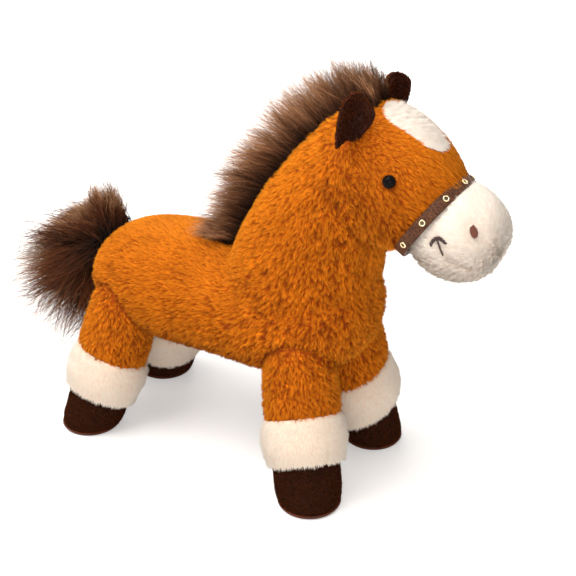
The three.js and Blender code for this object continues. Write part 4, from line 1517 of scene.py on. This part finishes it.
        # Painted shade in the creases where the legs meet the body.
        for leg in self.legs:
            tone = tone - 0.5 * bell(leg.gap(points) + 2.8, 1.5)
        # Random patches, and painted shade in the flank's grooves.
        tufts = 0.18 * self.mess(points) * ripple(points, 8, 21.0)
        return tone - 0.34 * self.grooves(points) + (0.08 * ripple(points, 21, 19.0) + tufts)

    def length(self, points: Array) -> Array:
        """The pile's length: short on the back and round the eyes, long over the strap's edge."""
        ahead = (points - FACE_SEAM) @ HEAD.forward
        over = bell(ahead + 6.0, 2.5) * (points[:, 2] > CHIN_HEIGHT)
        top = np.clip((points - FACE_SEAM) @ HEAD.up / 4.5 - 6, 0, 1)
        long = 0.86 + 0.22 * self.mess(points) + over * (0.2 + 1.3 * top)
        for leg in self.legs:
            long = long * (1 - 0.45 * bell(leg.gap(points) + 3, 2.5))
        for eye in self.eyes:
            long = long * (1 - 0.35 * bell(np.linalg.norm(points - eye, axis=1), 7))
        return long

    def keep(self, points: Array, normals: Array) -> Array:
        """Which roots grow: none past the face's seam, in the legs, at the eyes or on the blaze."""
        ahead = (points - FACE_SEAM) @ HEAD.forward
        free = (ahead < -self.bare_seam) | (points[:, 2] < CHIN_HEIGHT)
        for leg in self.legs:
            free &= leg.gap(points) > -self.bare_leg
        for eye in self.eyes:
            free &= np.linalg.norm(points - eye, axis=1) > self.bare_eye
        return free & (self.blaze_gap(points) > 1.1 + 0.8 * ripple(points, 2.0, 8.0))

    def build(self) -> None:
        """Make and dress the body's pieces."""
        skin = self.cloth()
        middles = skin.middles()
        behind = ((middles - FACE_SEAM) @ HEAD.forward <= 0) | (middles[:, 2] <= CHIN_HEIGHT)
        nodes = ("torso", "neck", "head")
        trees = [tree_of(node_surface(n)) for n in nodes]
        gaps = np.array([[t.find_nearest(p)[3] for t in trees] for p in middles.tolist()])
        label = gaps.argmin(1)
        blaze = (label == nodes.index("head")) & (self.blaze_gap(middles) < 0)
        groom = Groom(self.lay, self.keep, self.length, self.mess, self.shade)
        for k, node in enumerate(nodes):
            part = skin.part((label == k) & ~blaze & behind)
            place_piece(mesh_of(f"{node}_cloth", part), "trunk", COAT_CLOTH, [node])
            pile = grow_pile(part, COAT_FUR, groom, 11 + k)
            place_pile(f"{node}_pile", pile, "trunk", COAT)
        cloth = mesh_of("blaze_cloth", skin.part(blaze & behind))
        place_piece(cloth, "trunk", WHITE_CLOTH, ["blaze"])
        groom = Groom(self.lay, lambda p, n: self.blaze_gap(p) < 1.0 + 0.9 * ripple(p, 2.0, 3.0))
        pile = grow_pile(skin.part(self.blaze_gap(middles) < 4), BLAZE_FUR, groom, 21)
        place_pile("blaze_pile", pile, "trunk", WHITE)


# Where the threads of the right cheek run on the muzzle: along it, and degrees from its top
ARCH = ((-4.6, 89.9), (-4.7, 83.8), (-3.3, 78.4), (-0.3, 76.7), (2.9, 77.8))
MOUTH_LINE = ((-2.6, 80.6), (-0.2, 83.6), (2.2, 87.2), (5.1, 91.3))
MOUTH_CREASE = ((5.1, 91.3), (10.4, 95.3), (17.4, 96.3), (23.0, 97.5))
NOSTRIL_AXIS = ((9.6, 46.6), (12.1, 49.8), (14.8, 53.2))

# Profiles of turned parts: radius and height, from one end to the other
EYELET_RING = (
    (1.1, -0.5), (1.1, 0.55), (1.2, 0.8), (1.45, 0.97), (1.75, 0.92), (2.0, 0.66), (2.1, 0.3),
    (2.0, 0.08), (1.8, -0.02),
)
EYELET_HOLE = ((0, 0.1), (0.6, 0.1), (1.2, 0.1), (1.2, -0.4))
EYE_STEM = ((0, -9.0), (1.2, -9.0), (1.2, -0.9), (3.6, -0.9), (3.95, -0.7))


def muzzle_line(
    knots: Sequence[tuple[float, float]], side: Side, count: int, depth: float
) -> Array:
    """A smooth line on the muzzle.

    Args:
        knots: where it runs: along the muzzle, and degrees from its top.
        side: the cheek that it is on.
        count: how many points it has.
        depth: how far under the surface it lies.

    Returns:
        The points.
    """
    place = np.linspace(0, 1, count)
    along, angle = (share_at([k[n] for k in knots], place) for n in (0, 1))
    spots = [MUZZLE.surface_at(a, side.value * b) for a, b in zip(along, angle)]
    return np.array([spot - depth * normal for spot, normal in spots])


def both_sides(lines: Sequence, count: int) -> Array:
    """The points of some lines of the muzzle, just under its surface, on both cheeks."""
    return np.vstack([muzzle_line(knots, side, count, 2.0) for side in Side for knots in lines])


def near(points: Array, lines: Array, reach: float) -> Array:
    """How near points lie to the points of some lines, from 0 to 1."""
    return bell(np.linalg.norm(points[:, None] - lines[None], axis=2).min(1), reach)


def run_of(line: Array) -> Array:
    """How far along a line of points each of them is."""
    return np.concatenate([[0], np.cumsum(np.linalg.norm(np.diff(line, axis=0), axis=1))])


def read_line(at: Array, run: Array, line: Array) -> Array:
    """The places on a line of points at some distances along it."""
    return np.stack([np.interp(at, run, line[:, k]) for k in range(3)], 1)


@dataclass
class Face:
    """Muzzle, noseband, eyelets, eyes and embroidery."""

    muzzle_inset: float = 2.0
    strap_width: float = 7.5
    strap_thickness: float = 1.4
    strap_steps: int = 240
    eyelets: int = 7
    eyelet_step: float = 35.0
    eye_radius: float = 4.0
    eye_dome: float = 3.4
    nostril_depth: float = 1.3
    mouth_depth: float = 1.2

    def __post_init__(self) -> None:
        """Work out the ellipse that the strap lies on."""
        self.top = np.linalg.norm(HEAD.surface_at(SEAM_ALONG, 0)[0] - FACE_SEAM)
        self.side = np.linalg.norm(HEAD.surface_at(SEAM_ALONG, 90)[0] - FACE_SEAM)

    def strap_normal(self, angle: float) -> Array:
        """The way out of the strap at an angle from its top."""
        return unit(HEAD.up * math.cos(angle) / self.top + Y_AXIS * math.sin(angle) / self.side)

    def strap_point(self, angle: float, outward: float, along: float) -> Array:
        """A point on or off the strap's line, which sinks into the fur above and below."""
        below = abs(math.degrees(math.remainder(angle, 2 * math.pi)))
        sunk = float(np.interp(below, [0, 25, 45, 114, 144], [1.0, 1.0, 0, 0, 2.2]))
        middle = FACE_SEAM + HEAD.up * self.top * math.cos(angle) + HEAD.forward * along
        out = self.strap_normal(angle) * (outward - sunk)
        return middle + Y_AXIS * self.side * math.sin(angle) + out

    def build_muzzle(self) -> None:
        """Make the white muzzle, bare along its threads and drawn in along its mouth."""
        threads = both_sides((ARCH, MOUTH_LINE), 24)
        folds = both_sides((MOUTH_LINE, MOUTH_CREASE), 24)
        noses = both_sides((NOSTRIL_AXIS,), 12)

        def lay(points: Array) -> Array:
            return (points - MUZZLE.mid) * np.array([0.3, 1, 0.6]) - 25 * MUZZLE.forward

        def keep(points: Array, normals: Array) -> Array:
            free = (points - FACE_SEAM) @ HEAD.forward > 3.2
            edge = math.exp(-1)
            return free & (near(points, noses, 2.3) < edge) & (near(points, threads, 1.1) < edge)

        def shade(points: Array) -> Array:
            # Painted shade on the underside, in the mouth's folds and round the nostrils, with
            # random patches.
            low = ramp((MUZZLE.mid - points) @ MUZZLE.up, 4, 30)
            tone = 0.03 - 0.4 * low + 0.05 * ripple(points, 16, 3.0)
            return tone - 0.35 * near(points, folds, 1.8) - 0.1 * near(points, noses, 6)

        def mess(points: Array) -> Array:
            low = ramp((MUZZLE.mid - points) @ MUZZLE.up, -12, 18)
            return np.clip(0.3 + 0.8 * low + 0.3 * ripple(points, 12, 6.0), 0.2, 1.1)

        skin = form_skin(MUZZLE, 72, 96, -self.muzzle_inset)
        dents = 0.5 * ripple(skin.points, 15, 2.0) - 1.0 * near(skin.points, folds, 2.4)
        dents = dents - 0.8 * near(skin.points, noses, 5.0)
        points = skin.points + skin.normals() * dents[:, None]
        skin = cut_skin(Surface(points, skin.faces), FACE_SEAM, -HEAD.forward)
        cloth = mesh_of("muzzle_cloth", skin)
        place_piece(cloth, "trunk", WHITE_CLOTH, ["muzzle"])
        pile = grow_pile(skin, MUZZLE_FUR, Groom(lay, keep, mess=mess, shade=shade), 31)
        place_pile("muzzle_pile", pile, "trunk", WHITE)

    def strap_profile(self) -> list:
        """The strap's section as (outward, along), with a bead along each edge."""
        half, outer = self.strap_width / 2, 0.3 + self.strap_thickness
        edge = [(-2.6, 0.2), (0.6, 0), (outer - 0.35, 0), (outer, 0.45)]
        edge += [(outer - 0.12, 1.1), (outer - 0.02, 1.5)]
        low = [(out, along - half) for out, along in edge]
        return low + [(outer, 0.0)] + [(out, half - along) for out, along in edge[::-1]]

    def build_strap(self) -> None:
        """Make the noseband and its eyelets."""
        profile, steps = self.strap_profile(), self.strap_steps
        angles = [2 * math.pi * k / steps for k in range(steps)]
        points = [self.strap_point(angle, out, along) for angle in angles for out, along in profile]
        skin = Surface(np.array(points), ring_faces(steps, len(profile)))
        strap = mesh_of("noseband_strap", skin)
        place_piece(strap, "trunk", STRAP, ["noseband"])
        for k in range(self.eyelets):
            angle = math.radians((k - (self.eyelets - 1) / 2) * self.eyelet_step)
            point = self.strap_point(angle, 0.3 + self.strap_thickness, 0)
            at = frame_at(point, self.strap_normal(angle), HEAD.forward)
            ring = mesh_of(f"eyelet_ring_{k + 1}", lathe(EYELET_RING, 40, at))
            place_piece(ring, "trunk", EYELET, [f"eyelet_{k + 1}"])
            hole = mesh_of(f"eyelet_hole_{k + 1}", lathe(EYELET_HOLE, 24, at))
            place_piece(hole, "trunk", HOLE)

    def build_eye(self, side: Side) -> None:
        """Make a domed eye and dress the washer inside."""
        along, angle = EYE_PLACE
        at = frame_at(*HEAD.surface_at(along, side.value * angle), Z_AXIS)
        rise = np.linspace(0, math.pi / 2, 14)[:-1]
        dome = [(self.eye_radius * math.cos(a), self.eye_dome * math.sin(a) - 0.5) for a in rise]
        skin = lathe([*EYE_STEM, *dome, (0, self.eye_dome - 0.5)], 48, at)
        piece = mesh_of(f"eye_{side.word}_dome", skin)
        place_piece(piece, "trunk", EYE, [f"eye_{side.word}"])
        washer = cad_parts[f"eye_washer_{side.word}"]
        washer.data.materials.clear()
        washer.data.materials.append(material_of(WASHER))

    def build_nostril(self, side: Side) -> None:
        """Sew a nostril in satin stitch."""
        ends = muzzle_line(NOSTRIL_AXIS, side, 3, self.nostril_depth)
        along, angle = NOSTRIL_AXIS[1]
        point, normal = MUZZLE.surface_at(along, side.value * angle)
        at = frame_at(point - self.nostril_depth * normal, normal, unit(ends[0] - ends[2]))
        at = np.array(at, float)
        turn = np.linspace(-1, 1, 9)
        stitches = []
        for k, y in enumerate(np.linspace(-3.2, 3.2, 13)):
            half = 2.2 * math.sqrt(max(1 - (y / 3.7) ** 2, 0.05)) + 0.12 * (-1) ** k
            local = np.stack([half * turn, y + 0.4 * turn, 0.8 * (1 - turn**2) - 0.15], 1)
            stitches.append(tube(local @ at[:3, :3].T + at[:3, 3], np.full(9, 0.38), 8))
        piece = mesh_of(f"nostril_{side.word}_stitches", merged(stitches))
        place_piece(piece, "trunk", NOSTRIL, [f"nostril_{side.word}"])

    def build_mouth(self, side: Side) -> None:
        """Sew a side of the mouth in twisted thread of two plies."""
        threads = []
        for knots, thick in ((ARCH, 0.72), (MOUTH_LINE, 0.34)):
            line = muzzle_line(knots, side, 40, self.mouth_depth)
            threads += [self.ply(line, turn, thick) for turn in (0, math.pi)]
        piece = mesh_of(f"mouth_{side.word}_thread", merged(threads))
        place_piece(piece, "trunk", THREAD, [f"mouth_{side.word}"])

    def ply(self, path: Array, start: float, thick: float) -> Surface:
        """One of the two plies twisted round a thread's line.

        Args:
            path: the thread's line.
            start: the angle that the ply starts at.
            thick: the ply's radius.

        Returns:
            The ply's skin.
        """
        run = run_of(path)
        fine = np.linspace(0, run[-1], int(run[-1] * 5) + 2)
        line = read_line(fine, run, path)
        along = unit(np.gradient(line, axis=0))
        side = unit(np.cross(along, unit(line - MUZZLE.mid)))
        turn = (start + fine * math.pi / (2.6 * thick))[:, None]
        shift = np.cos(turn) * side + np.sin(turn) * np.cross(side, along)
        return tube(line + 0.7 * thick * shift, np.full(len(line), thick), 7)

    def build(self) -> None:
        """Make and dress everything on the face."""
        self.build_muzzle()
        self.build_strap()
        for side in Side:
            self.build_eye(side)
        for side in Side:
            self.build_nostril(side)
            self.build_mouth(side)


@dataclass
class Ear:
    """One ear: outer cloth, lining and their short pile."""

    side: Side

    def build(self) -> None:
        """Make and dress the ear's pieces from the leaves that the frame holds."""
        outer, lining = f"ear_{self.side.word}", f"ear_lining_{self.side.word}"
        back, front = (node_surface(n).points.mean(0) for n in (outer, lining))
        for node, seed in ((outer, 41), (lining, 47)):
            rounding = {"WELD": {"merge_threshold": 1e-6}, "SUBSURF": {"levels": 2}}
            skin = modified(node_surface(node), rounding)
            place_piece(mesh_of(f"{node}_cloth", skin), outer, EAR_CLOTH, [node])
            middle = skin.points.mean(0)
            up = unit(skin.points[skin.points[:, 2].argmax()] - middle)
            groom = Groom(lambda p: np.broadcast_to(up, p.shape))
            pile = grow_pile(skin, EAR_NAP, groom, seed + self.side.value)
            out = unit(front - back)
            # The lining gets painted shade and sheen; the outer leaf is lighter, with a painted
            # sheen towards its rim.
            if node == lining:
                lift = self.hollow_tone(pile.points[:, 0] - middle, up, out)
            else:
                lift = 0.26 + 0.3 * (1 - np.abs(pile.normals @ out))
            pile.tone = np.clip(pile.tone + lift, 0, 1)
            place_pile(f"{node}_pile", pile, outer, EAR_PILE)

    def hollow_tone(self, points: Array, up: Array, out: Array) -> Array:
        """How much lighter the hollow is: painted shade along its fold and a painted sheen at its
        edge.

        Args:
            points: the roots, from the middle of the leaf.
            up: the way to the ear's tip.
            out: the way that the hollow faces.

        Returns:
            What to add to the tone.
        """
        aside, high = points @ unit(np.cross(up, out)), points @ up
        fold = bell(aside + 0.12 * high, 2.6) * np.clip(0.6 - high / 18, 0, 1)
        edge = np.hypot(aside / np.abs(aside).max(), high / np.abs(high).max())
        edge = np.clip((edge - 0.68) / 0.2, 0, 1) * np.clip(0.6 + high / 12, 0, 1)
        return 0.5 * edge - 0.04 - 0.34 * fold


# Long pile


def swept_strands(
    roots: Array, controls: Array, tips: Array, steps: int, wave: float, rng: np.random.Generator
) -> Array:
    """Strands as bent lines from roots past controls to tips.

    Args:
        roots: where they start.
        controls: the points that they bend towards.
        tips: where they end.
        steps: pieces in a strand.
        wave: how far they wave, in millimetres.
        rng: the source of chance.

    Returns:
        Rows of points.
    """
    s = np.linspace(0, 1, steps + 1)[None, :, None]
    a, b, c = roots[:, None], controls[:, None], tips[:, None]
    path = (1 - s) ** 2 * a + 2 * s * (1 - s) * b + s**2 * c
    side = unit(rng.normal(size=roots.shape))[:, None]
    phase = rng.random((len(roots), 1, 1)) * 2 * np.pi
    turns = 1.2 + rng.random((len(roots), 1, 1))
    return path + side * wave * s * np.sin(phase + 2 * np.pi * turns * s)


@dataclass
class Mane:
    """The upright strip of long pile from the poll to the withers.

    The tables run from the poll: degrees that the strands are swept back from upright, and their
    reach.
    """

    seed: int = 61
    strands: int = 21000
    tufts: int = 460
    half_width: float = 9.0
    root_depth: float = 4.0
    fan: float = 0.24
    steps: int = 6
    wave: float = 1.6
    thickness: float = 0.36
    places: Sequence[float] = (0, 0.1, 0.2, 0.35, 0.5, 0.65, 0.8, 1)
    sweep: Sequence[float] = (26, 36, 47, 61, 76, 88, 92, 90)
    reach: Sequence[float] = (18.5, 26, 30, 32, 33, 33, 30, 20)

    def crest(self, place: Array) -> tuple[Array, Array]:
        """The line that the mane grows from.

        Args:
            place: shares of its length, from the poll.

        Returns:
            The points and the ways out of the neck there.
        """
        head = [HEAD.surface_at(a, 0)[0] for a in (-31, -42)]
        back = [TORSO.surface_at(a, 0)[0] for a in (0, -10)]
        knots = np.array(head + [NECK.ridge(share) for share in (0.75, 0.5, 0.35, 0.22)] + back)
        run = run_of(knots)
        fine = np.linspace(0, 1, 200)
        even = read_line(np.linspace(0, run[-1], 25), run, knots)
        line = np.stack([share_at(even[:, k], fine) for k in range(3)], 1)
        along = unit(read_line(place, fine, np.gradient(line, axis=0)))
        return read_line(place, fine, line), np.stack([along[:, 2], 0 * place, -along[:, 0]], 1)

    def build(self) -> None:
        """Make and dress the mane: its strands in tufts, then the strip that they stand on."""
        rng = np.random.default_rng(self.seed)
        count, tufts = self.strands, self.tufts
        pick = rng.integers(0, tufts, count)
        place = np.clip(rng.random(tufts)[pick] + 0.009 * rng.normal(size=count), 0, 1)
        side = np.clip(rng.uniform(-1, 1, tufts)[pick] + 0.14 * rng.normal(size=count), -1, 1)
        points, out = self.crest(place)
        shake = 9 * rng.normal(size=tufts)[pick] + 8 * rng.normal(size=count)
        angle = np.radians(np.interp(place, self.places, self.sweep) + shake)
        way = np.stack([-np.sin(angle), 0 * angle, np.cos(angle)], 1)
        reach = np.interp(place, self.places, self.reach) * (0.42 + 0.78 * rng.random(count) ** 1.5)
        reach = (reach * (1 + 0.17 * rng.normal(size=tufts)[pick]))[:, None]
        lean = side * self.fan + 0.1 * rng.normal(size=tufts)[pick] + 0.07 * rng.normal(size=count)
        aside, lean = Y_AXIS * (side * self.half_width)[:, None], Y_AXIS * lean[:, None]
        roots = points - self.root_depth * out + aside
        controls = points + out * (0.42 * reach) + aside + lean * reach * 0.4
        controls = controls + 0.13 * reach * rng.normal(size=(tufts, 3))[pick]
        tips = points + way * reach + 0.8 * aside + lean * reach
        path = swept_strands(roots, controls, tips, self.steps, self.wave, rng)
        taper = 1 - 0.92 * np.linspace(0, 1, self.steps + 1) ** 1.1
        width = self.thickness * taper * (0.5 + rng.random((count, 1)))
        tone = 0.53 + 0.2 * rng.normal(size=tufts)[pick] + 0.2 * rng.normal(size=count)
        tone = np.clip(tone - 0.25 * np.clip(1 - place / 0.3, 0, 1), 0, 1)
        facing = Y_AXIS * (side * 0.9)[:, None] + out * 0.6
        facing = unit(facing + 0.35 * rng.normal(size=roots.shape))
        pile = Fibres(path, width, facing, tone)
        place_pile("mane_pile", pile, "trunk", LONG, long=True)
        points, out = self.crest(np.linspace(0.01, 0.9, 60))
        band = tube(points - 4.5 * out, 6.5 * rounded_ends(0.01, 0.99, 60, 0.3), 14)
        strip = mesh_of("mane_strip", band)
        place_piece(strip, "trunk", DARK_CLOTH, ["mane"])


def rounded_ends(start: float, end: float, count: int, fullness: float) -> Array:
    """Shares of a radius along a bag from one share of its length to another, one in the middle."""
    return np.sin(np.pi * np.linspace(start, end, count)) ** fullness


@dataclass
class Tail:
    """The bush of long pile at the rump.

    The tables give the strands' reach at degrees from upright, turning to the back.
    """

    seed: int = 71
    strands: int = 23000
    tufts: int = 480
    root: Array = field(default_factory=lambda: np.array([-99.0, 0, 138]))
    middle: Array = field(default_factory=lambda: np.array([-143.0, 0, 97]))
    fan: float = 0.3
    steps: int = 7
    wave: float = 2.6
    thickness: float = 0.52
    turns: Sequence[float] = (-20, 15, 45, 70, 84, 96, 112, 127, 145, 155, 162, 172)
    reach: Sequence[float] = (28, 38, 32, 34, 44, 63, 96, 109, 111, 105, 86, 60)

    def build(self) -> None:
        """Make and dress the tail: its strands in tufts, then the core under them."""
        rng = np.random.default_rng(self.seed)
        count, tufts = self.strands, self.tufts
        pick = rng.integers(0, tufts, count)
        is_high = rng.random(tufts) < 0.13
        turn = np.where(is_high, rng.uniform(-14, 60, tufts), rng.uniform(60, 170, tufts))
        turn = turn[pick] + 5 * rng.normal(size=count)
        aside = self.fan * rng.uniform(-1, 1, tufts)[pick] + 0.05 * rng.normal(size=count)
        angle, flat = np.radians(turn), np.cos(aside)
        way = np.stack([-np.sin(angle) * flat, np.sin(aside), np.cos(angle) * flat], 1)
        reach = np.interp(turn, self.turns, self.reach) * (0.44 + 0.6 * rng.random(count))
        reach = (reach * (1 + 0.1 * rng.normal(size=tufts)[pick]))[:, None]
        tips = self.root + way * reach
        core = self.middle - self.root
        share = np.clip((tips - self.root) @ core / (core @ core), 0, 1)
        share = (share * rng.uniform(0.05, 0.75, tufts)[pick])[:, None]
        spread = rng.normal(size=(count, 3)) * np.array([3, 5, 4]) + np.array([4, 0, -1])
        roots = self.root + share * core + spread
        gone = tips - roots
        rise = gone - dot(gone, unit(core)) * unit(core)
        controls = roots + 0.4 * gone + 0.3 * rise
        controls = controls + 0.17 * reach * rng.normal(size=(tufts, 3))[pick]
        path = swept_strands(roots, controls, tips, self.steps, self.wave, rng)
        taper = 1 - 0.94 * np.linspace(0, 1, self.steps + 1) ** 1.3
        width = self.thickness * taper * (0.6 + 0.8 * rng.random((count, 1)))
        tone = 0.48 + 0.16 * rng.normal(size=tufts)[pick] + 0.18 * rng.normal(size=count)
        facing = unit(unit(path[:, 4] - self.middle) + 0.35 * rng.normal(size=tips.shape))
        pile = Fibres(path, width, facing, np.clip(tone, 0, 1))
        place_pile("tail_pile", pile, "tail", TAIL_PILE, long=True)
        share = np.linspace(0, 1, 24)[:, None]
        start = self.root + np.array([4.0, 0, 0])
        bow = np.array([-9.0, 0, 9.0]) * np.sin(np.pi * share)
        line = start + (self.middle - start) * share + bow
        bag = mesh_of("tail_core", tube(line, 12 * rounded_ends(0.08, 0.97, 24, 0.6), 18))
        place_piece(bag, "tail", DARK_CLOTH, ["tail"])


# Studio


def background_rays(w: Wiring) -> bpy.types.NodeSocket:
    """One for the rays that see, mirror or look through to the background."""
    path = w.node("LightPath").outputs
    most = {"operation": "MAXIMUM"}
    two = w.node("Math", most, i0=path["Is Camera Ray"], i1=path["Is Glossy Ray"])
    return w.node("Math", most, i0=two.outputs[0], i1=path["Is Transmission Ray"]).outputs[0]


@dataclass
class Studio:
    """Floor, light and camera."""

    azimuth: float = 31.1
    elevation: float = 27.3
    focal_px: float = 1181.0
    frame_px: float = 576.0
    eye: tuple[float, float, float] = (0.4134, -0.6049, 0.4940)
    floor_reach: float = 6.0

    def build(self) -> None:
        """Make the studio."""
        self.build_camera()
        self.lamp("over", (-0.35, -0.35, 1.35), (0, 0, 0.1), 1.1, 22.0, (1.0, 0.98, 0.95))
        self.lamp("front", (0.9, -1.1, 0.75), (0.05, 0, 0.15), 0.9, 8.0, (1.0, 0.97, 0.94))
        self.lamp("behind", (-0.7, 1.0, 0.9), (0, 0, 0.15), 0.9, 6.0, (1.0, 0.98, 0.96))
        self.build_surround()
        self.build_floor()

    def build_camera(self) -> None:
        """The camera at the photograph's angle."""
        camera = bpy.data.cameras.new("camera")
        camera.sensor_width = 36.0
        camera.lens = self.focal_px / self.frame_px * camera.sensor_width
        camera.clip_start, camera.clip_end = 0.01, 50.0
        made = linked("camera", camera)
        made.location = self.eye
        made.rotation_euler = (math.radians(90 - self.elevation), 0, math.radians(self.azimuth))
        bpy.context.scene.camera = made

    def lamp(
        self, name: str, place: tuple, aim: tuple, size: float, power: float, tint: tuple
    ) -> None:
        """A soft square lamp aimed at a point.

        Args:
            name: the lamp's name.
            place: where it is.
            aim: the point that it lights.
            size: its side, in metres.
            power: its power, in watts.
            tint: its colour.
        """
        light = bpy.data.lights.new(name, "AREA")
        light.size, light.energy, light.color = size, power, tint
        made = linked(name, light)
        made.location = place
        made.rotation_euler = (Vector(aim) - Vector(place)).to_track_quat("-Z", "Y").to_euler()

    def build_surround(self) -> None:
        """An even surround that looks white."""
        world = bpy.data.worlds.new("surround")
        world.use_nodes = True
        world.node_tree.nodes.clear()
        w = Wiring(world.node_tree)
        seen = background_rays(w)
        even = w.node("Background", Color=(1.0, 0.98, 0.96, 1.0), Strength=0.52)
        white = w.node("Background", Color=(1.0, 1.0, 1.0, 1.0), Strength=1.0)
        mix = w.node("MixShader", i0=seen, i1=even.outputs[0], i2=white.outputs[0])
        w.node("OutputWorld", Surface=mix.outputs[0])
        bpy.context.scene.world = world
        bpy.context.scene.view_settings.view_transform = "Standard"

    def build_floor(self) -> None:
        """A white sweep that keeps the horse's shadow."""
        mesh = bpy.data.meshes.new("floor")
        far = self.floor_reach
        corners = [(-far, -far, 0), (far, -far, 0), (far, far, 0), (-far, far, 0)]
        mesh.from_pydata(corners, [], [(0, 1, 2, 3)])
        floor = linked("floor", mesh)
        floor.location = (0, 0, -0.0002)
        material, w = new_material("floor_paper")
        white = {"Base_Color": (0.84, 0.83, 0.82, 1), "Roughness": 0.9}
        paper = w.node("BsdfPrincipled", **white, Specular_IOR_Level=0.1)
        place = w.node("TexCoord").outputs["Object"]
        away = w.node("VectorMath", {"operation": "LENGTH"}, i0=place).outputs["Value"]
        level = w.node("MapRange", Value=away, From_Min=0.2, From_Max=0.9, To_Min=0.3, To_Max=0.9)
        glow = w.node("Emission", Color=(1, 1, 1, 1), Strength=level.outputs[0])
        dark = w.node("Emission", Color=(0, 0, 0, 1), Strength=0.0)
        pick = w.node("MixShader", i0=background_rays(w), i1=dark.outputs[0], i2=glow.outputs[0])
        both = w.node("AddShader", i0=paper.outputs[0], i1=pick.outputs[0])
        w.node("OutputMaterial", Surface=both.outputs[0])
        mesh.materials.append(material)


def main() -> None:
    """Build the horse and its studio."""
    logging.basicConfig(level=logging.INFO, format="%(name)s %(message)s")
    Studio().build()
    legs = [Leg(end, side) for end in End for side in Side]
    for part in (Trunk(legs), *legs, Face(), *map(Ear, Side), Mane(), Tail()):
        part.build()


if __name__ == "__main__":
    main()
